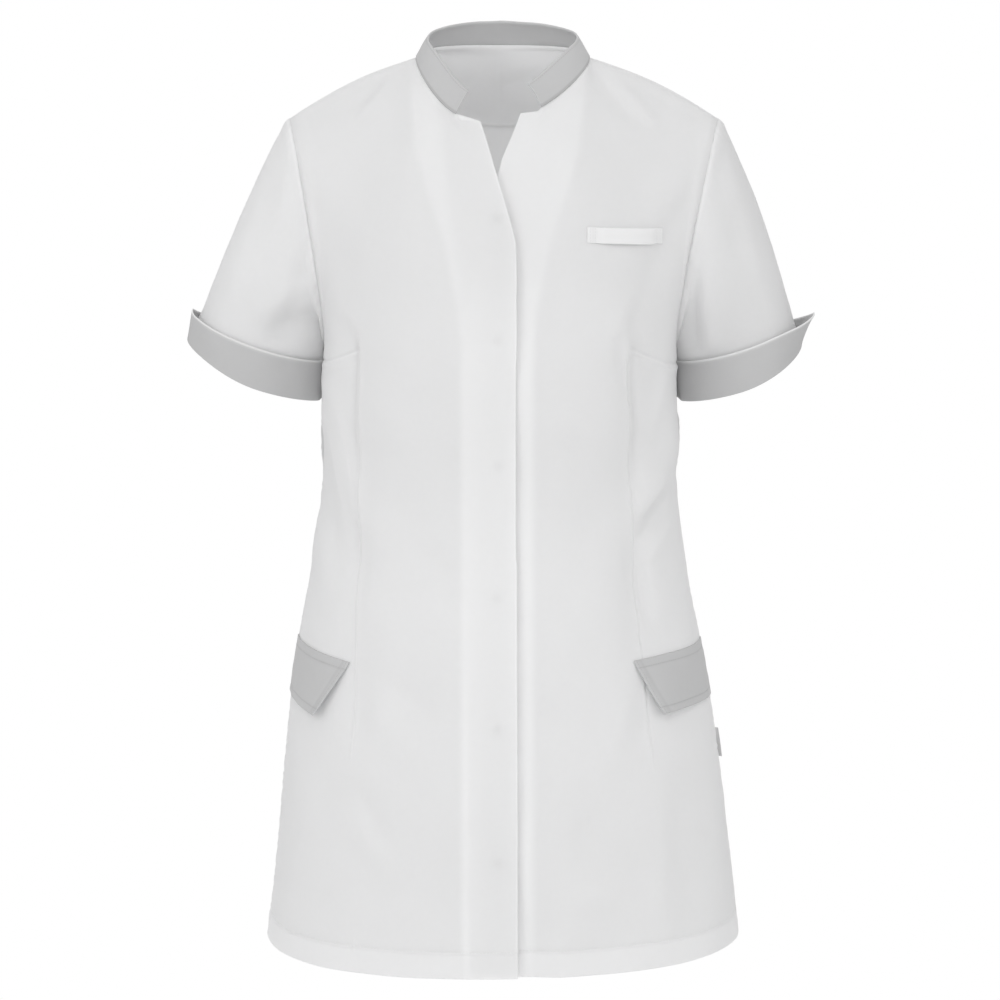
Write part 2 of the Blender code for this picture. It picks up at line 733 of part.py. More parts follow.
def cuff_ring(sleeve, columns, share, stand):
    # A ring at a share of the cuff's depth, standing off the sleeve's own surface
    ring = []
    points = sleeve_ring(sleeve, columns, stand + CUFF_FLARE * share, SLEEVE_CLEAR - stand)
    for index, point in enumerate(points):
        corner = max(cos(pi * index / columns), 0.0)
        run = CUFF_DEPTH * share * mix(1.0, CUFF_CORNER_SHARE, corner**2)
        low = point + Vector(CUFF_RUN) * run
        low.x += mix(sleeve.corner_top * stand / CUFF_STAND, sleeve.corner_foot, share) * corner**6
        keep_off_body(low, SLEEVE_CLEAR - stand)
        ring.append(low)
    return ring


def tube(name, half, rows, material, collection):
    world = [[to_world(half, point) for point in row] for row in rows]
    points = [point for row in world for point in row]
    middle = sum(points, Vector()) / len(points)
    return cloth(name + half.name, world, middle, material, collection, closed=True)


def make_sleeve(sleeve, material, collection):
    rows = sleeve_rows(sleeve, SLEEVE_COLUMNS, SLEEVE_ROWS)
    rows.append(cuff_ring(sleeve, SLEEVE_COLUMNS, SLEEVE_END / 2, 0.0))
    rows.append(cuff_ring(sleeve, SLEEVE_COLUMNS, SLEEVE_END, 0.0))
    return tube("sleeve_", sleeve.half, rows, material, collection)


def make_cuff(sleeve, material, collection):
    rows = []
    for level in range(CUFF_ROWS + 1):
        share = level / CUFF_ROWS
        stand = WALL + mix(CUFF_STAND, GAP, share)
        rows.append(cuff_ring(sleeve, SLEEVE_COLUMNS, share, stand))
    return tube("cuff_", sleeve.half, rows, material, collection)


# --- what lies on the fronts ---------------------------------------------------------------

def body_share(height):
    # The share v of a height below the underarm
    return (height - HEM_LEVEL) / (UNDERARM_LEVEL - HEM_LEVEL)


def make_flap(flap, material, collection):
    rows = []
    for level in range(FLAP_ROWS + 1):
        down = level / FLAP_ROWS
        inner = FLAP_TOP - FLAP_DEPTH * down - mix(flap.inner_top, flap.inner_foot, down)
        outer = FLAP_TOP - FLAP_DEPTH * down - mix(flap.outer_top, flap.outer_foot, down)
        start = u_at_x(inner, mix(flap.top_x, flap.bottom_x, down))
        row = []
        for index in range(FLAP_COLUMNS + 1):
            share = index / FLAP_COLUMNS
            u = mix(start, FLAP_SIDE_SHARE, share)
            out = LAYER + FLAP_EASE + FLAP_LIFT * (1 - share) ** 2 * down
            row.append(panel_point(flap.half, u, body_share(mix(inner, outer, share)), False, out))
        rows.append(row)
    return cloth("pocket_flap_" + flap.half.name, rows, BODY_CORE, material, collection)


def u_at_x(height, x):
    # Share of the front panel at which its ring reaches an x
    low, high = 0.0, 1.0
    for _ in range(30):
        middle = (low + high) / 2
        if ring_point(height, column_reach(height, middle, False), False).x < x:
            low = middle
        else:
            high = middle
    return (low + high) / 2


def make_loop(material, collection):
    front = half_grid(LEFT, False)
    rows = []
    for side in (0.5, -0.5):
        row = []
        for index in range(LOOP_COLUMNS + 1):
            share = index / LOOP_COLUMNS
            x = mix(LOOP_LEFT_END[0], LOOP_RIGHT_END[0], share)
            z = mix(LOOP_LEFT_END[1], LOOP_RIGHT_END[1], share) + LOOP_WIDTH * side
            off = LAYER + LOOP_EASE + LOOP_BOW * sin(pi * share)
            spot = find_spot(front, x, z)
            row.append(grid_spot(moved_rows(front, off, BODY_CORE), *spot))
        rows.append(row)
    return cloth("chest_loop", rows, BODY_CORE, material, collection)


def centre_line(rows):
    # Where the front's centre line crosses each row of a grid, with the row's direction there
    line = []
    for row in rows:
        index = 0
        while index < len(row) - 2 and row[index + 1].x > CENTRE_FRONT:
            index += 1
        first, second = row[index], row[index + 1]
        point = mix(first, second, (CENTRE_FRONT - first.x) / (second.x - first.x))
        line.append((point, (first - second).normalized()))
    return line


def make_snap(index, level, line, material, collection):
    name = "snap_%d" % (index + 1)
    bm = bmesh.new()
    bmesh.ops.create_cone(bm, cap_ends=True, segments=16, radius1=SNAP_RADIUS,
                          radius2=SNAP_RADIUS, depth=SNAP_THICKNESS)
    mesh = bpy.data.meshes.new(name)
    bm.to_mesh(mesh)
    bm.free()
    item = add_object(name, mesh, material, collection)
    step = 0
    while line[step + 1][0].z < level:
        step += 1
    (low, low_across), (high, high_across) = line[step], line[step + 1]
    item.location = mix(low, high, (level - low.z) / (high.z - low.z))
    out = (low_across + high_across).cross(high - low)
    item.rotation_euler = out.to_track_quat("Z", "Y").to_euler()
    return item


def make_tab(material, collection):
    name = "side_tab"
    bm = bmesh.new()
    bmesh.ops.create_cube(bm, size=1)
    bmesh.ops.scale(bm, vec=(TAB_REACH, WALL, TAB_HEIGHT), verts=bm.verts)
    mesh = bpy.data.meshes.new(name)
    bm.to_mesh(mesh)
    bm.free()
    item = add_object(name, mesh, material, collection)
    top = panel_point(LEFT, 1.0, body_share(TAB_TOP), False)
    foot = panel_point(LEFT, 1.0, body_share(TAB_TOP - TAB_HEIGHT), False)
    middle = (top + foot) / 2
    slope = (foot.x - top.x) / TAB_HEIGHT
    item.location = (middle.x + TAB_REACH / 2 + GAP + slope * slope * TAB_REACH, middle.y, middle.z)
    item.rotation_euler = (0, -slope, 0)
    return item


def build():
    clear_scene()
    collection = bpy.data.collections.new(OBJECT_NAME)
    bpy.context.scene.collection.children.link(collection)
    white = cloth_material("white_cloth", WHITE)
    grey = cloth_material("grey_cloth", GREY)
    steel = cloth_material("snap_metal", STEEL, 0.35, 1.0)
    for half in (RIGHT, LEFT):
        make_front(half, white, collection)
    make_back(white, collection)
    make_front_strip(white, collection)
    make_back_facing(white, collection)
    make_collar(grey, collection)
    for sleeve in SLEEVES:
        make_sleeve(sleeve, white, collection)
        make_cuff(sleeve, grey, collection)
    for flap in FLAPS:
        make_flap(flap, grey, collection)
    make_loop(white, collection)
    behind = 2 * LAYER + STRIP_EASE + SNAP_EASE + SNAP_THICKNESS / 2
    snap_line = centre_line(moved_rows(half_grid(RIGHT, False), -behind, BODY_CORE))
    for index, level in enumerate(SNAP_LEVELS):
        make_snap(index, level, snap_line, steel, collection)
    make_tab(grey, collection)


build()
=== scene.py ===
from collections import namedtuple
from math import cos, exp, hypot, pi, sin

import bpy
import numpy as np
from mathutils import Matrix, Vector, noise
from mathutils.bvhtree import BVHTree


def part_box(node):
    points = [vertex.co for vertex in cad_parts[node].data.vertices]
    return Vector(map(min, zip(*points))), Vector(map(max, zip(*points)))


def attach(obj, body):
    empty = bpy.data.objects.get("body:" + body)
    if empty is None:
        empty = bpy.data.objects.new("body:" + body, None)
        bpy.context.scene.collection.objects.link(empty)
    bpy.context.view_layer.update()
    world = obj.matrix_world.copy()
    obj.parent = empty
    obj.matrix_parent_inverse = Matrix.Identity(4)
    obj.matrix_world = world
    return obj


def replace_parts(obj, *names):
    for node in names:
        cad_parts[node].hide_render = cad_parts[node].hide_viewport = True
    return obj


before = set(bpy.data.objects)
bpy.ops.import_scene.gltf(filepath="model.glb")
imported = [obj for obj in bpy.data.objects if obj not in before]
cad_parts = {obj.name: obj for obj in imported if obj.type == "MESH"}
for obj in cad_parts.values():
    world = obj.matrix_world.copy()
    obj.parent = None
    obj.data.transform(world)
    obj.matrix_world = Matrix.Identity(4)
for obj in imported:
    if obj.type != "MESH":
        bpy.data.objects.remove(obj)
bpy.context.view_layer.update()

scene = bpy.context.scene
print("frame loaded:", len(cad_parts), "nodes")


# small helpers

def vec(*values):
    return np.array(values, float)


def smooth(value):
    value = np.clip(value, 0.0, 1.0)
    return value * value * (3 - 2 * value)


def mix(first, second, share):
    return first + (second - first) * share


def bezier(p0, p1, p2, p3, t):
    s = 1 - t
    return p0 * s**3 + p1 * (3 * s * s * t) + p2 * (3 * s * t * t) + p3 * t**3


def unit(vectors):
    return vectors / np.maximum(np.linalg.norm(vectors, axis=-1, keepdims=True), 1e-12)


def bell(off, width):
    # 1 on a line, and next to nothing three widths away from it
    return np.exp(-(off / width) ** 2)


def runOf(points, axis):
    # the length so far over a grid, up its rows (axis 0) or across its columns (axis 1)
    steps = np.linalg.norm(np.diff(points, axis=axis), axis=2)
    start = np.zeros_like(steps[:1] if axis == 0 else steps[:, :1])
    return np.concatenate([start, np.cumsum(steps, axis=axis)], axis=axis)


# the cut of the tunic, filled out as worn: the same sizes as the solids have

cut = {
    "hem": -0.777,
    "underarm": -0.255,
    "centreFront": -0.002,
    "lap": 0.016,            # each front passes the centre by this much
    "hemTilt": 0.012,
    "tiltTop": -0.56,
    "tiltEase": 0.2,
    "sideSeam": 0.008,       # y of the side seams
    "squareness": 2.3,
    "centreEaseStart": -0.02,
    "centreEase": 0.12,
}
ringSteps = 64

Section = namedtuple("Section", "height halfWidth front back sway")
sections = [
    Section(-0.777, 0.2110, 0.152, 0.140, 0.0028),
    Section(-0.700, 0.2020, 0.147, 0.138, 0.0022),
    Section(-0.620, 0.1938, 0.142, 0.134, 0.0016),
    Section(-0.550, 0.1845, 0.135, 0.126, 0.0002),
    Section(-0.490, 0.1738, 0.127, 0.114, -0.0008),
    Section(-0.440, 0.1636, 0.118, 0.101, -0.0010),
    Section(-0.390, 0.1570, 0.111, 0.092, -0.0012),
    Section(-0.330, 0.1545, 0.113, 0.093, 0.0),
    Section(-0.255, 0.1530, 0.123, 0.101, 0.0),
]

Half = namedtuple("Half", "name sign tipX neckX neckRise notchX")
right = Half("Right", -1, 0.1820, 0.0715, 0.0, 0.0155)
left = Half("Left", 1, 0.1885, 0.0765, 0.006, 0.0200)

neck = {
    "tipLevel": -0.053,
    "bow": 0.005,
    "riseBack": 0.45,
    "notch": vec(0, -0.079, -0.0510),
    "notchDip": 0.0030,     # the neck edge runs on below the collar's end before it turns to the lap
    "collarEnd": vec(0.0360, -0.066, -0.0450),
    "back": vec(0.0, 0.0575, 0.007),
    "frontPull": vec(0.0540, -0.046, -0.036),
    "sidePull": 0.028,
    "backPull": 0.036,
    "pointLevel": -0.001,
    "sideFall": 0.007,
    "sideRise": 0.0116,
}
fall = {
    "notch": vec(-0.024, -0.019, -0.058),
    "collarEnd": vec(0.001, -0.030, -0.055),
    "middle": vec(0.012, -0.036, -0.038),
    "point": vec(0.014, -0.052, -0.0195),
    "backNeck": vec(0.0, 0.020, -0.045),
    "backPoint": vec(0.012, 0.050, 0.0105),
    "backShoulder": 0.007,
    "rise": 0.36,
    "turn": 0.55,
}
armhole = {"upper": (-0.004, 0.040), "roll": 0.005, "lower": vec(0.1480, 0.078, -0.215)}
bust = {"x": 0.088, "height": -0.240, "lift": 0.011, "across": 0.058, "along": 0.075}
fade = {"side": 0.12, "top": 0.25}

Fold = namedtuple("Fold", "half x0 z0 x1 z1 width rise")
folds = [
    Fold("Right", 0.1195, -0.330, 0.1225, -0.560, 0.012, -0.0025),
    Fold("Right", 0.1460, -0.290, 0.1260, -0.385, 0.016, 0.0040),
    Fold("Right", 0.1500, -0.350, 0.1300, -0.420, 0.014, -0.0030),
    Fold("Left", 0.1130, -0.330, 0.1200, -0.560, 0.012, -0.0025),
    Fold("Left", 0.1500, -0.345, 0.1180, -0.385, 0.014, 0.0050),
    Fold("Left", 0.1500, -0.375, 0.1200, -0.408, 0.011, -0.0045),
    Fold("Left", 0.1200, -0.435, 0.1390, -0.500, 0.013, -0.0030),
    Fold("Back", 0.0950, -0.330, 0.1050, -0.500, 0.016, -0.0030),
    Fold("Back", 0.1350, -0.330, 0.0950, -0.400, 0.016, 0.0035),
    Fold("Back", 0.1100, -0.620, 0.1250, -0.777, 0.022, 0.0035),
]

grid = {
    "below": 19,
    "above": 10,
    "columns": 14,
    "toCollar": 1,
    "toNeck": 6,
    "seamStrip": 0.004,
    "shoulderStrip": 0.025,
    "relax": 8,
}

cloth = {
    "single": 0.0006,        # one layer
    "turned": 0.0012,        # where the edge is turned under
    "lapDrop": 0.0046,       # how far the underlap lies behind the lap
    "lapDropHem": 0.0085,    # and at the hem, where it swings back
    "lapEaseStart": 0.019,
    "lapEaseEnd": 0.048,
}


def sectionAt(height):
    index = 0
    while index < len(sections) - 2 and height > sections[index + 1].height:
        index += 1
    low, high = np.array(sections[index]), np.array(sections[index + 1])
    before = np.array(sections[max(index - 1, 0)])
    after = np.array(sections[min(index + 2, len(sections) - 1)])
    span = high[0] - low[0]
    t = (height - low[0]) / span
    slopeLow = (high - before) / (high[0] - before[0]) * span
    slopeHigh = (after - low) / (after[0] - low[0]) * span
    values = ((2 * t**3 - 3 * t**2 + 1) * low + (t**3 - 2 * t**2 + t) * slopeLow
              + (3 * t**2 - 2 * t**3) * high + (t**3 - t**2) * slopeHigh)
    return Section(height, *values[1:])


ringCache = {}


def quarterRing(height, isBack):
    # x, y and the length run so far, from the centre line to the side seam
    key = (round(height, 6), isBack)
    if key not in ringCache:
        section = sectionAt(height)
        depth = section.back - cut["sideSeam"] if isBack else -section.front - cut["sideSeam"]
        power = 2 / cut["squareness"]
        angle = pi / 2 * np.arange(ringSteps + 1) / ringSteps
        x = section.halfWidth * np.sin(angle) ** power
        y = cut["sideSeam"] + depth * np.maximum(np.cos(angle), 0.0) ** power
        run = np.concatenate([[0.0], np.cumsum(np.hypot(np.diff(x), np.diff(y)))])
        ringCache[key] = x, y, run
    return ringCache[key]


def ringLength(height, isBack):
    return quarterRing(height, isBack)[2][-1]


def ringPoint(height, reach, isBack):
    xs, ys, run = quarterRing(height, isBack)
    x = np.interp(abs(reach), run, xs)
    return vec(x if reach >= 0 else -x, np.interp(abs(reach), run, ys), height)


def bodyHalfWidth(height, y):
    section = sectionAt(min(max(height, cut["hem"]), cut["underarm"]))
    side = cut["sideSeam"]
    depth = section.back - side if y > side else section.front + side
    inside = min(abs(y - side) / depth, 1.0)
    return section.halfWidth * (1 - inside ** cut["squareness"]) ** (1 / cut["squareness"])


def neckLift(half):
    return vec(0, neck["riseBack"] * half.neckRise, half.neckRise)


def neckPoint(half):
    return vec(half.neckX, 0.0, neck["pointLevel"])


def neckSeam(half, share):
    # share 0 is the collar's front end, 1 the neck point, 2 the centre back
    side = neckPoint(half)
    if share <= 1:
        start = neck["collarEnd"] + neckLift(half)
        pull = neck["frontPull"] + neckLift(half)
        return bezier(start, pull, side - vec(0, neck["sidePull"], neck["sideFall"]), side, share)
    over = side + vec(0, neck["sidePull"], neck["sideRise"])
    return bezier(side, over, neck["back"] + vec(neck["backPull"], 0, 0), neck["back"], share - 1)


def shoulderTip(half):
    return vec(half.tipX, 0.0, neck["tipLevel"])


def shoulderPoint(half, share):
    return mix(neckPoint(half), shoulderTip(half), share) + vec(0, 0, neck["bow"] * sin(pi * share))


def armholeControls(half, isBack):
    face = 1 if isBack else -1
    under = ringPoint(cut["underarm"], ringLength(cut["underarm"], isBack), isBack)
    lower = armhole["lower"] * vec(1, face, 1)
    dx, y = armhole["upper"]
    upper = vec(half.tipX + dx, face * y, neck["tipLevel"] + face * armhole["roll"])
    return under, lower, upper, shoulderTip(half)


def frontTop(half, u):
    uCollar = grid["toCollar"] / grid["columns"]
    uNeck = grid["toNeck"] / grid["columns"]
    atEnd, atPoint = fall["collarEnd"], fall["point"]
    if u <= uCollar:
        share = u / uCollar
        corner = neck["notch"] + neckLift(half) + vec(half.notchX, 0, 0)
        return mix(corner, neckSeam(half, 0), share), mix(fall["notch"], atEnd, share)
    if u <= uNeck:
        share = (u - uCollar) / (uNeck - uCollar)
        middle = fall["middle"] * 2 - (atEnd + atPoint) / 2
        return neckSeam(half, share), mix(mix(atEnd, middle, share), mix(middle, atPoint, share), share)
    share = (u - uNeck) / (1 - uNeck)
    upper, tip = armholeControls(half, False)[2:]
    return shoulderPoint(half, share), mix(atPoint, upper - tip, share)


def backTop(half, u):
    uNeck = grid["toNeck"] / grid["columns"]
    if u <= uNeck:
        share = u / uNeck
        return neckSeam(half, 2 - share), mix(fall["backNeck"], fall["backPoint"], smooth(share))
    share = (u - uNeck) / (1 - uNeck)
    upper, tip = armholeControls(half, True)[2:]
    pull = mix(fall["backPoint"], upper - tip, share)
    return shoulderPoint(half, share), pull + vec(0, 0, fall["backShoulder"] * sin(pi * share))


def columnReach(height, u, isBack):
    return mix(0.0 if isBack else -cut["lap"], ringLength(height, isBack), u)


def plainPoint(half, u, v, isBack):
    # v runs 0 to 1 from hem to underarm, and 1 to 2 on to the top edge
    if v <= 1:
        height = mix(cut["hem"], cut["underarm"], v)
        return ringPoint(height, columnReach(height, u, isBack), isBack)
    step = 0.01
    level = cut["underarm"]
    foot = ringPoint(level, columnReach(level, u, isBack), isBack)
    below = ringPoint(level - step, columnReach(level - step, u, isBack), isBack)
    top, pull = backTop(half, u) if isBack else frontTop(half, u)
    under, lower = armholeControls(half, isBack)[:2]
    rise = (foot - below) / step * fall["rise"] * (top[2] - foot[2])
    start = mix(rise, lower - under, smooth((u - fall["turn"]) / (1 - fall["turn"])))
    return bezier(foot, foot + start, top + pull, top, v - 1)


def surfaceNormal(half, u, v, isBack):
    step = 0.002
    along = plainPoint(half, min(u + step, 1), v, isBack) - plainPoint(half, max(u - step, 0), v, isBack)
    up = plainPoint(half, u, min(v + step, 2), isBack) - plainPoint(half, u, max(v - step, 0), isBack)
    return unit(np.cross(along, up)) * (-1 if isBack else 1)


def relief(half, point, isBack):
    out = 0.0
    place = "Back" if isBack else half.name
    for fold in folds:
        if fold.half == place:
            dx, dz = fold.x1 - fold.x0, fold.z1 - fold.z0
            share = ((point[0] - fold.x0) * dx + (point[2] - fold.z0) * dz) / (dx * dx + dz * dz)
            share = min(1.0, max(0.0, share))
            off = hypot(point[0] - fold.x0 - share * dx, point[2] - fold.z0 - share * dz)
            out += fold.rise * exp(-(off / fold.width) ** 2)
    if not isBack:
        across = (point[0] - bust["x"]) / bust["across"]
        along = (point[2] - bust["height"]) / bust["along"]
        out += bust["lift"] * exp(-across * across - along * along)
    return out


def lapDrop(half, point):
    if half is not left:
        return 0.0
    start, end = cloth["lapEaseStart"], cloth["lapEaseEnd"]
    atHem = smooth((-0.62 - point[2]) / 0.16)
    drop = mix(cloth["lapDrop"], cloth["lapDropHem"], atHem)
    return drop * (1 - smooth((point[0] - start) / (end - start)))


def toWorld(half, point):
    section = sectionAt(min(max(point[2], cut["hem"]), cut["underarm"]))
    front = smooth((abs(point[0]) - cut["centreEaseStart"]) / cut["centreEase"])
    shift = mix(cut["centreFront"], section.sway, front) if point[1] < 0 else section.sway
    x = half.sign * point[0] + shift
    tilt = cut["hemTilt"] * x * smooth((cut["tiltTop"] - point[2]) / cut["tiltEase"])
    return vec(x, point[1], point[2] + tilt)


def panelPoint(half, u, v, isBack, out=0.0):
    point = plainPoint(half, u, v, isBack)
    edge = smooth((1 - u) / fade["side"]) * smooth((2 - v) / fade["top"])
    move = out + relief(half, point, isBack) * edge
    if not isBack:
        move -= lapDrop(half, point)
    return toWorld(half, point + surfaceNormal(half, u, v, isBack) * move)


def coarseShares():
    last = 1 - grid["seamStrip"] / ringLength(cut["underarm"], False)
    us = [index / grid["columns"] for index in range(grid["columns"])] + [last, 1.0]
    vs = [index / grid["below"] for index in range(grid["below"])]
    vs += [1 + index / grid["above"] for index in range(grid["above"])]
    return np.array(us), np.array(vs + [2 - grid["shoulderStrip"], 2.0])


def coarseGrid(half, isBack):
    us, vs = coarseShares()
    rows = np.array([[panelPoint(half, u, v, isBack) for u in us] for v in vs])
    for _ in range(grid["relax"]):
        before = rows.copy()
        first = grid["below"] - 1
        around = (before[first:-2, :-3] + before[first:-2, 2:-1] + before[first - 1:-3, 1:-2]
                  + before[first + 1:-1, 1:-2])
        rows[first:-2, 1:-2] = (before[first:-2, 1:-2] + around / 4) / 2
    return rows


# a smooth fine grid through the coarse one

def slopes(knots, values):
    steps = np.diff(knots).reshape(-1, *([1] * (values.ndim - 1)))
    rates = np.diff(values, axis=0) / steps
    out = np.empty_like(values)
    out[1:-1] = (rates[:-1] * steps[1:] + rates[1:] * steps[:-1]) / (steps[:-1] + steps[1:])
    out[0], out[-1] = rates[0], rates[-1]
    return out, rates


def hermite(knots, values, before, after, places):
    # values at each place, with the slopes on both sides of every knot
    index = np.clip(np.searchsorted(knots, places, side="right") - 1, 0, len(knots) - 2)
    step = (knots[index + 1] - knots[index])
    t = (places - knots[index]) / step
    shape = [-1] + [1] * (values.ndim - 1)
    t, step = t.reshape(shape), step.reshape(shape)
    return ((2 * t**3 - 3 * t**2 + 1) * values[index] + (t**3 - 2 * t**2 + t) * step * after[index]
            + (3 * t**2 - 2 * t**3) * values[index + 1] + (t**3 - t**2) * step * before[index + 1])


def fineGrid(half, isBack, uFine, vFine, corners=()):
    # uFine holds a row of shares for each of vFine; corners are knots where the top edge turns
    us, vs = coarseShares()
    coarse = coarseGrid(half, isBack)
    middle, _ = slopes(vs, coarse)
    tall = hermite(vs, coarse, middle, middle, vFine)
    rows = []
    for row, places, v in zip(tall, uFine, vFine):
        middle, rates = slopes(us, row)
        before, after = middle.copy(), middle.copy()
        sharp = smooth((v - 1.82) / 0.16)
        for knot in corners:
            before[knot] = mix(middle[knot], rates[knot - 1], sharp)
            after[knot] = mix(middle[knot], rates[knot], sharp)
        rows.append(hermite(us, row, before, after, places))
    return np.array(rows)


def gridNormals(points, outward=None, closed=False):
    # unit normals of a grid, on the side of the outward vectors
    outward = outwardFrom(points) if outward is None else outward
    if closed:
        along = np.roll(points, -1, axis=1) - np.roll(points, 1, axis=1)
    else:
        along = np.gradient(points, axis=1)
    normals = unit(np.cross(along, np.gradient(points, axis=0)))
    return normals if (normals * outward).sum() >= 0 else -normals


def outwardFrom(points, core=(0, 0, -0.4)):
    return points - np.array(core, float)


# creases: a soft ridge, or a trough where the rise is negative

Crease = namedtuple("Crease", "x0 z0 x1 z1 width rise bow lean", defaults=(0.0, 0.0))


def creaseHeights(x, z, creases):
    # bow bends the line sideways, lean makes one flank steeper; both fade out at the ends
    heights = np.zeros_like(x)
    for row in creases:
        c = Crease(*row)
        dx, dz = c.x1 - c.x0, c.z1 - c.z0
        length = hypot(dx, dz)
        along = ((x - c.x0) * dx + (z - c.z0) * dz) / length**2
        inside = np.clip(along, 0, 1)
        across = ((x - c.x0) * dz - (z - c.z0) * dx) / length - c.bow * np.sin(pi * inside)
        width = c.width * np.where(across > 0, 1 + c.lean, 1 - c.lean) * (0.7 + 0.3 * np.sin(pi * inside))
        ends = np.clip(4 * along * (1 - along), 0, 1) ** 0.8
        heights += c.rise * bell(across, width) * ends
    return heights


def unevenness(points, size, height, seed):
    # slow irregular swells, so that no surface is perfectly even
    flat = points.reshape(-1, 3) / size + seed * 7.3
    swell = np.array([noise.noise(Vector(p)) for p in flat])
    return swell.reshape(points.shape[:2]) * height


# shells: a grid of points becomes a closed cloth wall with rounded edges

def gridTree(points):
    rows, columns = points.shape[:2]
    index = np.arange(rows * columns).reshape(rows, columns)
    faces = np.stack([index[:-1, :-1], index[:-1, 1:], index[1:, 1:], index[1:, :-1]], -1).reshape(-1, 4)
    return BVHTree.FromPolygons(points.reshape(-1, 3).tolist(), faces.tolist())


def reachOnto(plain, normals, under, clear=0.012):
    # how far along its normal each plain point has to go to lie on the creased surface
    reach = np.zeros(plain.shape[:2])
    for i, j in np.ndindex(*reach.shape):
        start = Vector(plain[i, j] + normals[i, j] * clear)
        hit = under.ray_cast(start, Vector(-normals[i, j]), 3 * clear)
        reach[i, j] = clear - hit[3] if hit[0] else 0.0
    return reach


def boundaryLoops(rows, columns, closed):
    if closed:
        return [[(0, j) for j in range(columns)], [(rows - 1, j) for j in reversed(range(columns))]]
    loop = [(0, j) for j in range(columns)]
    loop += [(i, columns - 1) for i in range(1, rows)]
    loop += [(rows - 1, j) for j in reversed(range(columns - 1))]
    loop += [(i, 0) for i in reversed(range(1, rows - 1))]
    return [loop]


def outOfEdge(points, i, j, closed):
    rows, columns = points.shape[:2]
    out = np.zeros(3)
    if i in (0, rows - 1):
        out += unit(points[i, j] - points[1 if i == 0 else rows - 2, j])
    if not closed and j in (0, columns - 1):
        out += unit(points[i, j] - points[i, 1 if j == 0 else columns - 2])
    return unit(out)


def shell(name, points, outward, material, thickness=cloth["single"], layers=0.0, closed=False,
          edges=0.0):
    # points is the outer side; thickness, the tone (doubled cloth with painted shade and painted light) and
    # the painted edge highlight may be one number or one for each point
    rows, columns = points.shape[:2]
    normals = gridNormals(points, outward, closed)
    spread = [np.broadcast_to(values, (rows, columns)) for values in (thickness, layers, edges)]
    middleRow = rows // 2
    corner = points[middleRow, 0]
    flow = np.cross(points[middleRow, 1] - corner, points[middleRow + 1, 0] - corner)
    if (flow * normals[middleRow, 0]).sum() < 0:      # so that faces point out
        points, normals = points[:, ::-1], normals[:, ::-1]
        spread = [values[:, ::-1] for values in spread]
    thickness, layers, edges = spread
    inner = points - normals * thickness[..., None]
    count = rows * columns
    verts = [points.reshape(-1, 3), inner.reshape(-1, 3)]
    i, j = np.meshgrid(np.arange(rows - 1), np.arange(columns if closed else columns - 1), indexing="ij")
    i, j = i.ravel(), j.ravel()
    cornerI = np.stack([i, i, i + 1, i + 1], 1)
    cornerJ = np.stack([j, j + 1, j + 1, j], 1)
    outer = cornerI * columns + cornerJ % columns
    faces = [outer, outer[:, ::-1] + count]
    places = [(cornerI, cornerJ), (cornerI[:, ::-1], cornerJ[:, ::-1])]
    start = 2 * count
    loops = boundaryLoops(rows, columns, closed)
    for loop in loops:
        a, b = np.array(loop).T
        out = np.array([outOfEdge(points, *place, closed) for place in loop])
        verts.append((points[a, b] + inner[a, b]) / 2 + out * thickness[a, b][:, None] * 0.42)
        ids = a * columns + b
        mids = start + np.arange(len(loop))
        start += len(loop)
        after, midsAfter = np.roll(ids, -1), np.roll(mids, -1)
        faces.append(np.stack([after, ids, mids, midsAfter], 1))
        faces.append(np.stack([midsAfter, mids, ids + count, after + count], 1))
        a2, b2 = np.roll(a, -1), np.roll(b, -1)
        if closed:
            b2 = np.where(b2 < b - 1, b2 + columns, b2)
            b = np.where(b < b2 - 1, b + columns, b)
        places += 2 * [(np.stack([a2, a, a, a2], 1), np.stack([b2, b, b, b2], 1))]
    verts = np.concatenate(verts)
    mesh = bpy.data.meshes.new(name)
    mesh.from_pydata(verts.tolist(), [], np.concatenate(faces).tolist())
    cornerI = np.concatenate([place[0] for place in places]).ravel()
    cornerJ = np.concatenate([place[1] for place in places]).ravel()
    uv = clothUv(points, closed)[cornerI, cornerJ]
    mesh.uv_layers.new(name="weave").data.foreach_set("uv", uv.astype(np.float32).ravel())
    # the tone holds doubled cloth with painted shade and painted light; the edge share is a painted highlight
    for key, values in (("layers", layers), ("edge", edges)):
        rim = [values[a, b] for loop in loops for a, b in loop]
        full = np.concatenate([values.ravel(), values.ravel(), rim]).astype(np.float32)
        mesh.attributes.new(key, "FLOAT", "POINT").data.foreach_set("value", full)
    return finishPiece(name, mesh, material)


def finishPiece(name, mesh, material):
    mesh.shade_smooth()
    mesh.materials.append(material)
    piece = bpy.data.objects.new(name, mesh)
    scene.collection.objects.link(piece)
    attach(piece, "root")
    return piece


def clothUv(points, closed):
    # metres along the weft and the warp
    wide = np.concatenate([points, points[:, :1]], axis=1) if closed else points
    x, y = runOf(wide, 1), runOf(wide, 0)
    x = x - x[:, x.shape[1] // 2:x.shape[1] // 2 + 1]
    if not closed:
        x = np.concatenate([x, x[:, -1:]], axis=1)
        y = np.concatenate([y, y[:, -1:]], axis=1)
    return np.stack([x, y], axis=2)


# materials

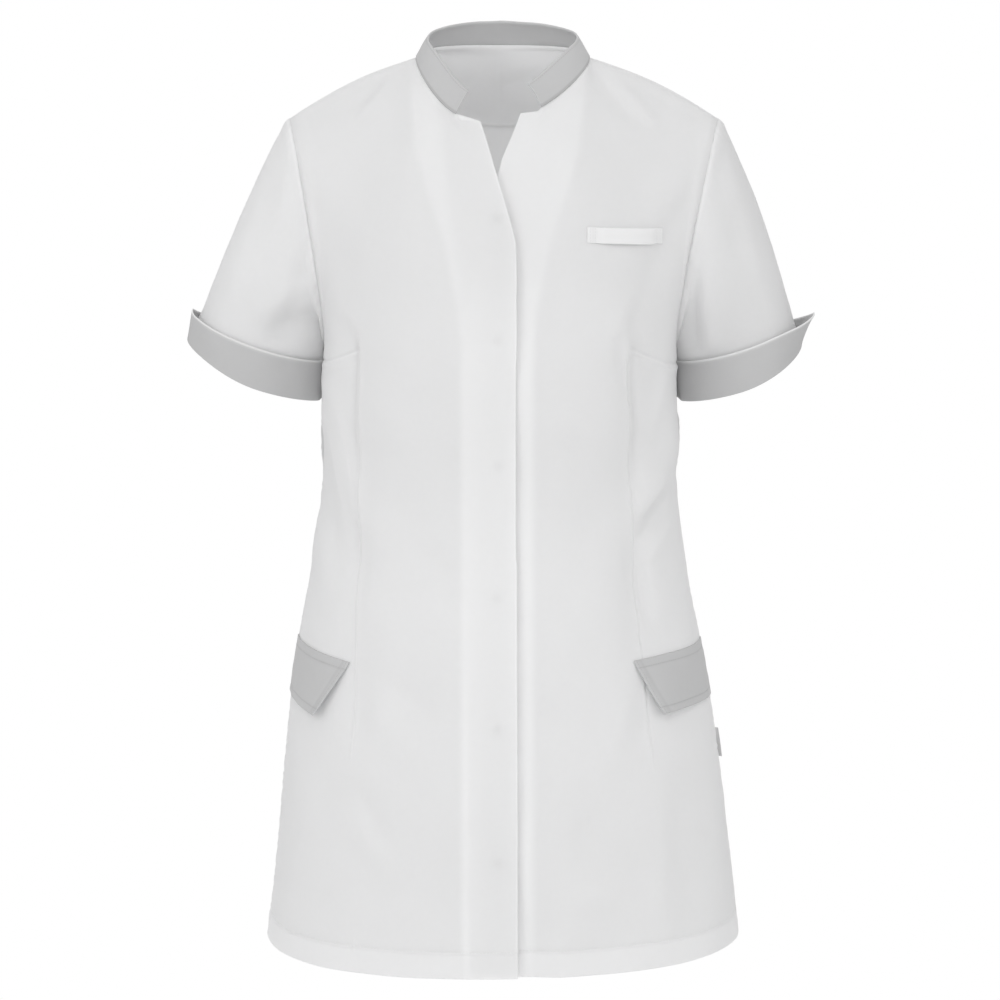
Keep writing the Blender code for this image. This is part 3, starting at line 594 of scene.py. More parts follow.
class Sock:
    # a value on a node's way, with the operators that are used below
    def __init__(self, tree, socket=None):
        self.tree = tree
        self.socket = socket

    def fill(self, made, inputs):
        for key, value in inputs.items():
            if isinstance(value, Sock):
                self.tree.links.new(value.socket, made.inputs[key])
            else:
                made.inputs[key].default_value = value
        return made

    def node(self, kind, settings=None, inputs=None):
        made = self.tree.nodes.new(kind)
        for key, value in (settings or {}).items():
            setattr(made, key, value)
        return self.fill(made, inputs or {})

    def get(self, kind, output=0, settings=None, inputs=None):
        # one output of a new node
        return Sock(self.tree, self.node(kind, settings, inputs).outputs[output])

    def noise(self, scale, detail=2.0, roughness=0.5):
        place = self.get("ShaderNodeTexCoord", "Object")
        inputs = {"Vector": place, "Scale": scale, "Detail": detail, "Roughness": roughness}
        return self.get("ShaderNodeTexNoise", "Fac", None, inputs)

    def tint(self, colour, shade):
        return self.get("ShaderNodeVectorMath", 0, {"operation": "SCALE"}, {0: colour, "Scale": shade})

    def math(self, operation, first, second=0.0):
        return self.get("ShaderNodeMath", 0, {"operation": operation}, {0: first, 1: second})

    def __add__(self, other):
        return self.math("ADD", self, other)

    def __radd__(self, other):
        return self.math("ADD", other, self)

    def __sub__(self, other):
        return self.math("SUBTRACT", self, other)

    def __rsub__(self, other):
        return self.math("SUBTRACT", other, self)

    def __mul__(self, other):
        return self.math("MULTIPLY", self, other)

    def __rmul__(self, other):
        return self.math("MULTIPLY", other, self)

    def sine(self):
        return self.math("SINE", self)


def newMaterial(name):
    material = bpy.data.materials.new(name)
    material.use_nodes = True
    return material, material.node_tree.nodes["Principled BSDF"], Sock(material.node_tree)


weave = {
    "pitch": 0.00052,      # from one thread to the next
    "height": 0.00006,
    "bump": 0.22,
    "slubSize": 260.0,
    "mottleSize": 14.0,
    "crumpleSize": 38.0,
    "crumpleHeight": 0.0010,
    "crumple": 0.16,
    "mottleTone": 0.022,   # how much each one changes the tone
    "slubTone": 0.030,
    "twillTone": 0.020,
    "slubRoughness": 0.12,
}


def clothMaterial(name, colour, dim, roughness, sheen, through, edgeHighlightColour=None):
    # a plain poly-cotton twill; dim: how much greyer one layer is than two, and how strongly the painted
    # shade and painted light in the tone show; through: the light that passes
    material, shader, make = newMaterial(name)
    uvMap = make.get("ShaderNodeUVMap", 0, {"uv_map": "weave"})
    apart = make.node("ShaderNodeSeparateXYZ", None, {0: uvMap})
    x, y = (Sock(make.tree, apart.outputs[index]) for index in (0, 1))
    turn = 2 * pi / weave["pitch"]
    diagonal = ((x + y * 0.62) * turn).sine()
    threads = (x * (turn * 2)).sine() * 0.35 + (y * (turn * 1.5)).sine() * 0.25
    twill = (diagonal * 0.6 + threads) * 0.5 + 0.5
    mottle = make.noise(weave["mottleSize"], 3.0)
    slub = make.noise(weave["slubSize"])
    crumple = make.noise(weave["crumpleSize"], 4.0, 0.55)
    # the tone: paler where the cloth is doubled, with painted shade and painted light laid on it
    layers = make.get("ShaderNodeAttribute", "Fac", {"attribute_name": "layers"})
    shade = (1 - dim) + layers * dim + (mottle - 0.5) * weave["mottleTone"]
    shade = shade + (slub - 0.5) * weave["slubTone"] + (twill - 0.5) * weave["twillTone"]
    base = make.tint(colour, shade)
    # a painted highlight along the top edges of the collar and cuffs
    if edgeHighlightColour:
        edge = make.get("ShaderNodeAttribute", "Fac", {"attribute_name": "edge"})
        inputs = {"Factor": edge, 6: base, 7: (*edgeHighlightColour, 1)}
        base = make.get("ShaderNodeMix", 2, {"data_type": "RGBA"}, inputs)
    fine = make.get("ShaderNodeBump", 0, None,
                    {"Height": twill + slub * 0.8, "Strength": weave["bump"], "Distance": weave["height"]})
    soft = make.get("ShaderNodeBump", 0, None,
                    {"Height": crumple, "Normal": fine, "Strength": weave["crumple"],
                     "Distance": weave["crumpleHeight"]})
    make.fill(shader, {"Base Color": base, "Roughness": roughness + (slub - 0.5) * weave["slubRoughness"],
                       "Normal": soft, "Sheen Weight": sheen, "Sheen Roughness": 0.5,
                       "Specular IOR Level": 0.25})
    glow = make.get("ShaderNodeBsdfTranslucent", 0, None, {"Color": (*colour, 1)})
    plain = Sock(make.tree, shader.outputs[0])
    both = make.get("ShaderNodeMixShader", 0, None, {"Fac": through, 1: plain, 2: glow})
    make.fill(make.tree.nodes["Material Output"], {"Surface": both})
    return material


def threadMaterial(name, colour):
    material, shader, make = newMaterial(name)
    ply = make.noise(1800.0)
    bump = make.get("ShaderNodeBump", 0, None, {"Height": ply, "Strength": 0.4, "Distance": 0.0001})
    make.fill(shader, {"Base Color": make.tint(colour, ply * 0.16 + 0.92), "Normal": bump, "Roughness": 0.6,
                       "Sheen Weight": 0.2})
    return material


def metalMaterial(name, colour):
    material, shader, make = newMaterial(name)
    wear = make.noise(900.0, 3.0)
    make.fill(shader, {"Base Color": make.tint(colour, wear * 0.10 + 0.95), "Roughness": wear * 0.2 + 0.22,
                       "Metallic": 1.0})
    return material


white = clothMaterial("whiteTwill", (0.970, 0.970, 0.972), 0.090, 0.86, 0.08, 0.40)
# grey's last colour is the painted highlight on the collar's and cuffs' top edges
grey = clothMaterial("greyTwill", (0.600, 0.600, 0.603), 0.020, 0.84, 0.10, 0.16, (0.90, 0.90, 0.90))
whiteThread = threadMaterial("whiteThread", (0.84, 0.84, 0.84))
greyThread = threadMaterial("greyThread", (0.44, 0.44, 0.445))
nickel = metalMaterial("nickel", (0.66, 0.66, 0.66))
print("materials made")


# where the fronts' waist darts run, as points x and z in each half's own x

darts = {
    "Right": [(0.1195, -0.222), (0.1195, -0.300), (0.1205, -0.404), (0.1255, -0.500), (0.1300, -0.606)],
    "Left": [(0.1030, -0.227), (0.1100, -0.310), (0.1180, -0.404), (0.1245, -0.500), (0.1310, -0.612)],
    "Back": [(0.0800, -0.215), (0.0780, -0.310), (0.0760, -0.404), (0.0800, -0.500), (0.0850, -0.590)],
}


def dartLine(place, z):
    points = sorted((level, x) for x, level in darts[place])
    return float(np.interp(z, [p[0] for p in points], [p[1] for p in points]))


def shareAtX(height, x, isBack):
    # the share of a panel at which its ring reaches an x
    xs, _, run = quarterRing(height, isBack)
    reach = np.interp(x, xs, run)
    start = 0.0 if isBack else -cut["lap"]
    return (reach - start) / (run[-1] - start)


panel = {
    "frontCounts": (190, 104, 100),     # rows from hem to underarm, rows above, columns
    "backCounts": (150, 84, 66),
    "dartOffsets": (-0.0060, -0.0042, -0.0030, -0.0021, -0.0013, -0.0007, -0.0002,
                    0.0002, 0.0007, 0.0013, 0.0021, 0.0030, 0.0042, 0.0060),
    "edgeOffsets": (0.0004, 0.0009, 0.0016, 0.0026),
    "bandOffsets": (-0.0008, -0.0003, 0.0003, 0.0008),
    "bustRows": (-0.268, -0.234, 0.0011),       # closer rows along the bust dart
    "roll": 0.0009,         # how far a seam's edge turns in
    "rollWidth": 0.0011,
    "sidePucker": (0.011, 0.00035),             # pitch and height of the ripples that a seam draws
    "hemPucker": (0.0085, 0.00022),
    "hemBand": 0.0225,
    "hemStep": 0.00035,
    "dartDepth": 0.0008,
}


def fineShares(place, isBack):
    # u of each point, v of each row, and u's distance from the dart: columns gather at the dart and the edges
    length = ringLength(cut["underarm"], isBack) + (0.0 if isBack else cut["lap"])
    tall = cut["underarm"] - cut["hem"]
    below, above, columns = panel["backCounts" if isBack else "frontCounts"]
    near = np.array(panel["edgeOffsets"])
    parts = [np.linspace(0, 1, below, endpoint=False), np.linspace(1, 2, above + 1), near / tall,
             panel["hemBand"] / tall + np.array(panel["bandOffsets"]) / tall, 2 - near / 0.2]
    if not isBack:
        parts.append((np.arange(*panel["bustRows"]) - cut["hem"]) / tall)
    vs = np.unique(np.round(np.concatenate(parts), 6))
    middle = 0.5
    offsets = np.array(panel["dartOffsets"]) / length
    inside = np.linspace(0, middle + offsets[0], columns // 2, endpoint=False)
    outside = np.linspace(middle + offsets[-1], 1, columns // 2)[1:]
    parts = [inside, middle + offsets, outside, 1 - near / length]
    if not isBack:
        parts.append(near / length)
    s = np.unique(np.round(np.concatenate(parts), 6))
    rows = []
    for v in vs:
        height = mix(cut["hem"], cut["underarm"], min(v, 1))
        at = shareAtX(height, dartLine(place, height), isBack)
        rows.append(s + (at - middle) * np.clip(1 - np.abs(s - middle) / 0.5, 0, 1))
    return np.array(rows), vs, s - middle, length


def dartHeights(away, z, place):
    # the pressed fold beside a stitched dart: a fine valley with a soft lip, in a slight hollow
    levels = [p[1] for p in darts[place]]
    inside = smooth((max(levels) - z) / 0.035) * smooth((z - min(levels)) / 0.045)
    trough = -0.0013 * bell(away - 0.0050, 0.0042) * smooth((z + 0.46) / 0.14)
    return (trough - panel["dartDepth"] * bell(away, 0.0012) + 0.0004 * bell(away + 0.0018, 0.0012)
            - 0.0012 * bell(away, 0.016)) * inside


def seamRoll(distance):
    return -panel["roll"] * np.exp(-distance / panel["rollWidth"])


def pucker(distance, along, pitch, height, seed):
    # small ripples that a seam draws into the cloth beside it
    wobble = np.sin(along * 2 * pi / pitch + 1.7 * np.sin(along * 2 * pi / (pitch * 2.7) + seed))
    return height * wobble * bell(distance, pitch * 0.9)


Place = namedtuple("Place", "x z fromSide fromTop fromHem toArmhole quiet fromDart")


def layOut(points, half, middleX, shares):
    # where each point of a panel lies: x from the centre, and how far from its edges and its dart
    uFine, vFine, away, length = shares
    x = half.sign * (points[..., 0] - middleX)
    fromSide = (1 - uFine) * length
    fromTop = np.linalg.norm(points - points[-1:], axis=2)
    v = np.broadcast_to(vFine[:, None], uFine.shape)
    quiet = smooth(fromSide / 0.012) * smooth(fromTop / 0.010)
    return Place(x, points[..., 2], fromSide, fromTop, v * (cut["underarm"] - cut["hem"]),
                 smooth((v - 1.0) / 0.06), quiet, away[None, :] * length * np.ones_like(x))


def sewnRelief(points, at, name, calm, sideSeed, hemSeed):
    # what sewing does to every panel: pressed darts, side seams that roll in and ripple, and the hem's band
    move = dartHeights(at.fromDart, at.z, name) * at.quiet + seamRoll(at.fromSide) * (1 - at.toArmhole)
    move += pucker(at.fromSide, runOf(points, 0), *panel["sidePucker"], sideSeed) * (1 - 0.7 * at.toArmhole)
    fromBand = np.abs(at.fromHem - panel["hemBand"])
    move += panel["hemStep"] * smooth((panel["hemBand"] - at.fromHem) / 0.0012)
    move += pucker(fromBand, runOf(points, 1), *panel["hemPucker"], hemSeed) * calm
    return move - 0.00035 * bell(fromBand, 0.0010)


def inHemBand(at):
    return smooth((panel["hemBand"] - at.fromHem) / 0.0016 + 0.5)


def clothWall(share):
    # from one layer to where the edge is turned under
    return cloth["single"] + (cloth["turned"] - cloth["single"]) * share


def lowSkirt(z):
    # where the skirt hangs out of the light
    return smooth((-0.45 - z) / 0.30)


frontCreases = {    # x0, z0, x1, z1, width, rise, bow and lean, with x from the centre
    "Right": [      # the wearer's right, at the left of the view
        (0.088, -0.010, 0.122, -0.052, 0.006, 0.0019, 0.002, 0.3),
        (0.098, -0.014, 0.128, -0.048, 0.005, -0.0014),
        (0.072, -0.020, 0.080, -0.120, 0.012, 0.0019, 0.004),
        (0.176, -0.080, 0.110, -0.200, 0.020, 0.0026, 0.010, 0.2),
        (0.165, -0.110, 0.120, -0.190, 0.014, -0.0019, 0.006),
        (0.150, -0.170, 0.128, -0.225, 0.012, 0.0014),
        (0.134, -0.214, 0.126, -0.262, 0.008, -0.0021, 0.002, -0.2),
        (0.152, -0.268, 0.123, -0.400, 0.0070, 0.0036, 0.003, 0.3),
        (0.147, -0.285, 0.122, -0.425, 0.0060, -0.0036, 0.003),
        (0.150, -0.310, 0.132, -0.390, 0.0050, 0.0022, 0.002, 0.4),
        (0.134, -0.300, 0.121, -0.360, 0.0060, -0.0022, 0.002),
        (0.154, -0.352, 0.140, -0.455, 0.0080, -0.0027, 0.004),
        (0.152, -0.395, 0.150, -0.480, 0.0090, 0.0022, 0.003),
        (0.066, -0.405, 0.028, -0.475, 0.016, -0.0018, 0.004),
        (0.110, -0.520, 0.050, -0.565, 0.014, -0.0016, 0.006),
        (0.122, -0.545, 0.068, -0.600, 0.012, 0.0014, 0.004),
        (0.125, -0.612, 0.098, -0.675, 0.010, -0.0021, 0.003, 0.2),
        (0.145, -0.640, 0.085, -0.700, 0.013, 0.0016, 0.006),
        (0.062, -0.575, 0.030, -0.690, 0.016, 0.0014, 0.004),
        (0.030, -0.640, 0.052, -0.745, 0.014, -0.0013, 0.003),
        (0.168, -0.600, 0.178, -0.760, 0.016, 0.0026, 0.004),
        (0.190, -0.570, 0.196, -0.740, 0.012, -0.0022, 0.002),
        (0.088, -0.300, 0.060, -0.420, 0.020, 0.0016, 0.008),
        (0.045, -0.250, 0.040, -0.420, 0.016, -0.0010, 0.004),
    ],
    "Left": [       # the wearer's left
        (0.082, -0.008, 0.130, -0.060, 0.006, -0.0019, 0.003, 0.3),
        (0.092, -0.006, 0.140, -0.058, 0.007, 0.0018, 0.002),
        (0.078, -0.022, 0.062, -0.120, 0.012, 0.0019, 0.005),
        (0.178, -0.075, 0.122, -0.175, 0.020, 0.0029, 0.010, 0.2),
        (0.172, -0.110, 0.128, -0.180, 0.012, -0.0021, 0.006),
        (0.152, -0.150, 0.112, -0.235, 0.014, -0.0016, 0.006),
        (0.118, -0.195, 0.098, -0.235, 0.009, 0.0019, 0.004),
        (0.112, -0.213, 0.128, -0.262, 0.007, -0.0026, -0.003, 0.2),
        (0.100, -0.228, 0.114, -0.292, 0.006, -0.0022, 0.002),
        (0.150, -0.262, 0.132, -0.330, 0.0070, 0.0022, 0.003),
        (0.150, -0.356, 0.120, -0.396, 0.0060, 0.0030, 0.002, 0.4),
        (0.150, -0.376, 0.122, -0.412, 0.0050, -0.0034, 0.002, 0.3),
        (0.156, -0.392, 0.130, -0.430, 0.0060, 0.0027, 0.002),
        (0.120, -0.432, 0.139, -0.496, 0.0070, -0.0026, 0.002, -0.3),
        (0.128, -0.428, 0.148, -0.492, 0.0080, 0.0019, 0.002),
        (0.088, -0.438, 0.052, -0.560, 0.018, 0.0019, 0.006),
        (0.060, -0.500, 0.028, -0.690, 0.016, -0.0022, 0.006, 0.2),
        (0.040, -0.560, 0.024, -0.740, 0.010, 0.0019, 0.003),
        (0.122, -0.520, 0.100, -0.600, 0.012, 0.0016, 0.004),
        (0.140, -0.620, 0.148, -0.770, 0.012, 0.0022, 0.003),
        (0.160, -0.600, 0.172, -0.750, 0.013, -0.0024, 0.004),
        (0.188, -0.590, 0.200, -0.770, 0.012, 0.0029, 0.003),
        (0.072, -0.640, 0.110, -0.700, 0.016, -0.0016, 0.006),
        (0.085, -0.700, 0.050, -0.770, 0.018, 0.0016, 0.004),
    ],
}

snapLevels = (-0.131, -0.231, -0.340, -0.452, -0.563, -0.677)


def inFacing(at, softness):
    # the facing behind the lap: its edge runs straight, then out to the neck point
    edge = np.interp(at.z, [-0.80, -0.235, -0.205, -0.151, -0.078, -0.034, 0.0],
                     [0.030, 0.030, 0.033, 0.045, 0.069, 0.0745, 0.0760])
    return smooth((edge - at.x) / softness + 0.5)


def doubledShare(at):
    # it shows less at the chest, where it lies looser
    return inFacing(at, 0.009) * mix(1.0, 0.45, smooth((at.z + 0.26) / 0.12))


Shift = namedtuple("Shift", "z dx")
lapShifts = {       # how far each lap edge stands from the smooth line, by height: straight, then a corner
    "Right": [Shift(-0.420, -0.0008), Shift(-0.300, -0.0014), Shift(-0.260, -0.0013), Shift(-0.199, 0.0007),
              Shift(-0.162, 0.0042), Shift(-0.151, 0.0050), Shift(-0.142, 0.0044), Shift(-0.127, 0.0026),
              Shift(-0.107, 0.0006), Shift(-0.087, -0.0004), Shift(-0.050, 0.0)],
    "Left": [Shift(-0.150, 0.0), Shift(-0.118, -0.0010), Shift(-0.103, -0.0026), Shift(-0.083, -0.0028),
             Shift(-0.064, 0.0), Shift(-0.045, 0.0020)],
}


def sideWrap(z):
    # where the front's side edge is drawn in over the back's, under each sleeve
    return smooth((-0.300 - z) / 0.02) * smooth((z + 0.375) / 0.035)


# what each front has: its swells, its bust dart from the side seam, and its tones, from doubled cloth and
# snaps and from painted shade and painted light

BustDart = namedtuple("BustDart", "x0 z0 x1 z1")
frontLook = {
    "swells": ((0.110, 0.0030, 7), (0.050, 0.0016, 1), (0.020, 0.00035, 4)),    # size, height, seed
    "bustDart": {"Right": BustDart(0.149, -0.2605, 0.115, -0.2415),
                 "Left": BustDart(0.152, -0.2630, 0.104, -0.2375)},
    "snapRing": 0.0042,
    "wrapIn": (0.0034, 0.0020),      # how far the side edge is drawn in, across and forward
    "facingTone": 1.18,
    "hemTone": 0.5,
    "snapTone": 0.62,
    # painted light on the side under each sleeve; lowTone, highTone and farSideTone are painted shade
    "underSleeveTone": {"Right": 0.25, "Left": 0.55},
    "lowTone": 0.45,
    "highTone": 0.2,
    "farSideTone": 0.3,
}


def shiftLap(points, fromLap, half):
    table = lapShifts[half.name]
    dx = np.interp(points[:, :1, 2], [row.z for row in table], [row.dx for row in table], left=0.0)
    points[..., 0] += dx * bell(fromLap, 0.035)


def frontTones(half, at, onBust, offBust):
    # the cloth's tone: paler where doubled in facing and hem, painted highlights and painted shade in lines
    # beside the darts and seams, and soft broad painted shade and painted light
    tone, z, away = frontLook, at.z, at.fromDart
    layers = np.maximum(doubledShare(at) * tone["facingTone"], inHemBand(at) * tone["hemTone"])
    top, foot = darts[half.name][0][1], darts[half.name][-1][1]
    onDart = smooth((top - z) / 0.02) * smooth((z - foot) / 0.03)
    onFold = smooth((top - z) / 0.02) * smooth((z + 0.36) / 0.06)
    # painted highlight and painted shade along the waist dart's stitching, and painted shade in the hollow
    # beside it
    layers = layers + onDart * (0.9 * bell(away + 0.0008, 0.0006) - 0.5 * bell(away - 0.0006, 0.0006))
    layers = layers - onFold * 0.75 * bell(away - 0.0050, 0.0036)
    # painted highlight and painted shade along the bust dart
    layers = layers + onBust * (0.8 * bell(offBust + 0.0006, 0.0009) - 0.4 * bell(offBust - 0.0012, 0.0010))
    # a painted light line beside the side seam, where its turnings lie behind, and a painted shadow along the
    # armhole seam
    layers = layers + 0.8 * bell(at.fromSide - 0.0016, 0.0010) * (1 - at.toArmhole)
    layers = layers - at.toArmhole * bell(at.fromSide, 0.0008) * smooth((z + 0.20) / 0.05)
    # painted shade on the low skirt and on the chest and shoulders, painted light on the side under each
    # sleeve
    layers = layers - tone["lowTone"] * lowSkirt(z) - tone["highTone"] * smooth((z + 0.26) / 0.1)
    layers = layers + tone["underSleeveTone"][half.name] * bell(at.x - 0.143, 0.014) * bell(z + 0.285, 0.045)
    # painted shade low on the left front's far side
    if half is left:
        return layers - tone["farSideTone"] * smooth((at.x - 0.175) / 0.03) * smooth((-0.55 - z) / 0.1)
    for level in snapLevels:
        layers = layers - tone["snapTone"] * bell(np.hypot(at.x, z - level), 0.0044)
    return layers


def makeFront(half):
    shares = fineShares(half.name, False)
    uFine, vFine, _, length = shares
    points = fineGrid(half, False, uFine, vFine, (1, grid["toNeck"]))
    fromLap = uFine * length
    shiftLap(points, fromLap, half)
    normals = gridNormals(points)
    at = layOut(points, half, cut["centreFront"], shares)
    x, z = at.x, at.z
    move = creaseHeights(x, z, frontCreases[half.name]) * at.quiet
    fromPlacket = 0.35 + 0.65 * smooth((fromLap - 0.03) / 0.05)
    for index, (size, height, seed) in enumerate(frontLook["swells"]):
        swell = unevenness(points, size, height, seed + half.sign) * at.quiet
        move += swell * fromPlacket if index < 2 else swell
    move += sewnRelief(points, at, half.name, 1.0, 2.0 + half.sign, 5.0)
    bustDart = frontLook["bustDart"][half.name]
    dx, dz = bustDart.x1 - bustDart.x0, bustDart.z1 - bustDart.z0
    share = ((x - bustDart.x0) * dx + (z - bustDart.z0) * dz) / (dx * dx + dz * dz)
    offBust = ((x - bustDart.x0) * dz - (z - bustDart.z0) * dx) / hypot(dx, dz)
    onBust = smooth((0.94 - share) / 0.25) * smooth((share + 0.25) / 0.1)
    move += onBust * (0.0007 * bell(offBust + 0.0034, 0.0026) - 0.0009 * bell(offBust, 0.0016))
    move += seamRoll(at.fromTop) * smooth((uFine * grid["columns"] - grid["toCollar"]) / 0.15)
    move += 0.00030 * inFacing(at, 0.004)       # the facing makes the lap a little fuller
    if half is right:
        for level in snapLevels:
            r = np.hypot(x, z - level)
            move += 0.00025 * bell(r, 0.0026) - 0.00042 * bell(r - frontLook["snapRing"], 0.0014)
    points = points + normals * move[..., None]
    wrap = sideWrap(z) * bell(at.fromSide, 0.010)
    points[..., 0] -= half.sign * frontLook["wrapIn"][0] * wrap
    points[..., 1] -= frontLook["wrapIn"][1] * wrap
    toEnd = uFine * grid["columns"] / grid["toCollar"]
    dip = np.clip(np.minimum(toEnd / 0.8, (1 - toEnd) / 0.2), 0, 1)
    points[..., 2] -= neck["notchDip"] * (1.7 if half is right else 1.0) * dip * bell(at.fromTop, 0.012)
    thick = clothWall(inHemBand(at))
    if half is left:
        thick = np.maximum(thick, clothWall(doubledShare(at)))
    piece = shell("front" + half.name, points, outwardFrom(points), white, thick,
                  frontTones(half, at, onBust, offBust))
    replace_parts(piece, "front_" + half.name.lower())
    return points


fronts = {half.name: makeFront(half) for half in (right, left)}
print("fronts made")


# the facing strip behind the right front's lap edge

facing = {"reach": 0.0265, "behind": 0.00062, "setBack": 0.0003, "columns": 26}


def makeFacing(frontPoints):
    vFine = np.unique(np.concatenate([np.linspace(0.003, 1, 120), np.linspace(1, 1.999, 60)]))
    rows = []
    for v in vFine:
        length = ringLength(mix(cut["hem"], cut["underarm"], min(v, 1)), False) + cut["lap"]
        wide = (cut["lap"] + facing["reach"]) / length
        rows.append(mix(facing["setBack"] / length, wide, np.linspace(0, 1, facing["columns"])))
    uFine = np.array(rows)
    points = fineGrid(right, False, uFine, vFine, (1,))
    shiftLap(points, uFine * (ringLength(cut["underarm"], False) + cut["lap"]), right)
    normals = gridNormals(points)
    reach = reachOnto(points, normals, gridTree(frontPoints))
    reach[:, 0], reach[:, -1] = reach[:, 1].copy(), reach[:, -2].copy()
    points = points + normals * (reach - cloth["single"] - facing["behind"])[..., None]
    piece = shell("frontFacing", points, outwardFrom(points), white, layers=1.0)
    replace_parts(piece, "front_facing_right")


makeFacing(fronts["Right"])


# the back, as one piece

backCreases = [      # on both sides, by mirror
    (0.100, -0.012, 0.060, -0.110, 0.012, 0.0022, 0.006),
    (0.150, -0.060, 0.080, -0.150, 0.018, -0.0019, 0.008),
    (0.160, -0.120, 0.090, -0.210, 0.016, 0.0022, 0.008),
    (0.140, -0.290, 0.095, -0.370, 0.012, 0.0026, 0.006),
    (0.150, -0.330, 0.100, -0.395, 0.010, -0.0029, 0.005),
    (0.152, -0.365, 0.085, -0.430, 0.013, 0.0026, 0.006),
]
backSideCreases = {
    "Right": [
        (0.000, -0.330, 0.070, -0.372, 0.012, 0.0026, -0.006),
        (0.010, -0.365, 0.080, -0.398, 0.010, -0.0024, -0.005),
        (0.100, -0.560, 0.120, -0.770, 0.020, 0.0032, 0.006),
        (0.070, -0.600, 0.082, -0.770, 0.018, -0.0029, 0.004),
        (0.030, -0.520, 0.036, -0.700, 0.020, 0.0019, 0.004),
        (0.155, -0.540, 0.180, -0.740, 0.016, -0.0026, 0.004),
    ],
    "Left": [
        (0.004, -0.348, 0.060, -0.392, 0.011, 0.0022, -0.005),
        (0.012, -0.385, 0.072, -0.420, 0.010, -0.0019, -0.004),
        (0.085, -0.570, 0.105, -0.760, 0.020, -0.0029, 0.005),
        (0.120, -0.600, 0.138, -0.770, 0.018, 0.0032, 0.005),
        (0.040, -0.560, 0.050, -0.760, 0.020, 0.0021, 0.005),
        (0.165, -0.560, 0.186, -0.750, 0.016, -0.0022, 0.004),
    ],
}
backLook = {
    "swells": ((0.110, 0.0030, 17), (0.050, 0.0014, 12), (0.020, 0.00028, 15)),
    "wrapIn": (0.0048, 0.0050),      # the side edge under each sleeve: drawn in, and forward
    "wrapOut": 0.0036,               # and full beside it
    # painted shade on the side edge under each sleeve, and on the low skirt
    "wrapTone": 3.0,
    "lowTone": 0.45,
    "hemTone": 0.5,
}


def makeBack():
    grids = {}
    for half in (right, left):
        shares = fineShares("Back", True)
        grids[half.name] = fineGrid(half, True, shares[0], shares[1], (grid["toNeck"],))
    centre = (grids["Right"][:, :1] + grids["Left"][:, :1]) / 2
    both = []
    for half in (right, left):
        points, uFine = grids[half.name], shares[0]
        points[:, :1] = centre
        normals = gridNormals(points)
        at = layOut(points, half, 0.0, shares)
        calm = smooth(uFine / 0.04)
        creases = backCreases + backSideCreases[half.name]
        move = creaseHeights(at.x, at.z, creases) * at.quiet * calm
        for size, height, seed in backLook["swells"]:
            move += unevenness(points, size, height, seed) * at.quiet
        move += sewnRelief(points, at, "Back", calm, 3.0 + half.sign, 6.0)
        move += np.where(uFine > (grid["toNeck"] - 0.3) / grid["columns"], seamRoll(at.fromTop), 0)
        points = points + normals * move[..., None]
        wrap, side = sideWrap(at.z), at.fromSide
        points[..., 0] -= half.sign * backLook["wrapIn"][0] * wrap * bell(side, 0.0030)
        points[..., 0] += half.sign * backLook["wrapOut"] * wrap * bell(side - 0.009, 0.006)
        points[..., 1] -= backLook["wrapIn"][1] * wrap * bell(side, 0.0070)
        # paler in the doubled hem band, with painted shade at the side edge under each sleeve and on the low
        # skirt
        tone = inHemBand(at) - backLook["wrapTone"] * wrap * bell(side, 0.009)
        both.append((points, tone - backLook["lowTone"] * lowSkirt(at.z)))
    (first, toneFirst), (second, toneSecond) = both
    middle = (first[:, :1] + second[:, :1]) / 2
    points = np.concatenate([first[:, :0:-1], middle, second[:, 1:]], axis=1)
    tone = np.concatenate([toneFirst[:, :0:-1], toneSecond], axis=1)
    layers = np.where(tone > 0, backLook["hemTone"] * tone, tone)
    piece = shell("backPanel", points, outwardFrom(points), white,
                  clothWall(np.clip(tone, 0, 1)), layers)
    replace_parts(piece, "back")
    return points


backPoints = makeBack()


# the facing inside the back neck, cut from the back's own points

backFacing = {
    "rows": 44,
    "columns": 44,
    "foot": 4,                # it starts this many rows of the coarse grid down,
    "lower": 0.045,           # and this share of the height lower
    "behind": 0.0002,
    "wall": 0.0009,
    "proud": (0.0011, 0.004),                             # its lower edge is turned and stands out this much
    "swells": ((0.02, 0.0003, 21), (0.030, 0.0014, 23)),
    "rim": (0.0008, 0.0018),
    "tones": (1.7, 1.3, 1.8),                             # painted light: lower edge, middle and neck edge, both edges as painted highlights
}


def makeBackFacing():
    start = coarseShares()[1][-backFacing["foot"] - 1] - backFacing["lower"]
    vFine = np.linspace(start, 2.0, backFacing["rows"])
    uNeck = grid["toNeck"] / grid["columns"]
    uFine = np.tile(np.linspace(0, uNeck * 0.995, backFacing["columns"]), (len(vFine), 1))
    first, second = (fineGrid(half, True, uFine, vFine, (grid["toNeck"],)) for half in (right, left))
    middle = (first[:, :1] + second[:, :1]) / 2
    points = np.concatenate([first[:, :0:-1], middle, second[:, 1:]], axis=1)
    normals = gridNormals(points)
    depth = cloth["single"] + backFacing["behind"] + cloth["turned"]
    fromFoot = np.arange(len(vFine))[:, None] / (len(vFine) - 1) * 0.06
    proud = backFacing["proud"][0] * bell(fromFoot, backFacing["proud"][1])
    fromNeck = np.linalg.norm(points - points[-1:], axis=2)
    uneven = sum(unevenness(points, *swell) for swell in backFacing["swells"]) * smooth(fromNeck / 0.02)
    reach = reachOnto(points, normals, gridTree(backPoints))
    reach[-2:] = reach[-3]
    reach[:, 0], reach[:, -1] = reach[:, 1].copy(), reach[:, -2].copy()
    points = points + normals * (reach - depth - proud - np.abs(uneven))[..., None]
    points = np.concatenate([points, np.array([points[-1] + vec(0, 0, up) for up in backFacing["rim"]])])
    # painted light over the facing, with painted highlights at its lower and neck edges
    layers = np.full(points.shape[:2], backFacing["tones"][1])
    layers[-4:] = backFacing["tones"][2]
    layers[:2] = backFacing["tones"][0]
    piece = shell("backNeckFacing", points, outwardFrom(points), white, backFacing["wall"],
                  layers)
    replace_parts(piece, "back_facing")


makeBackFacing()
print("back made")


# collar

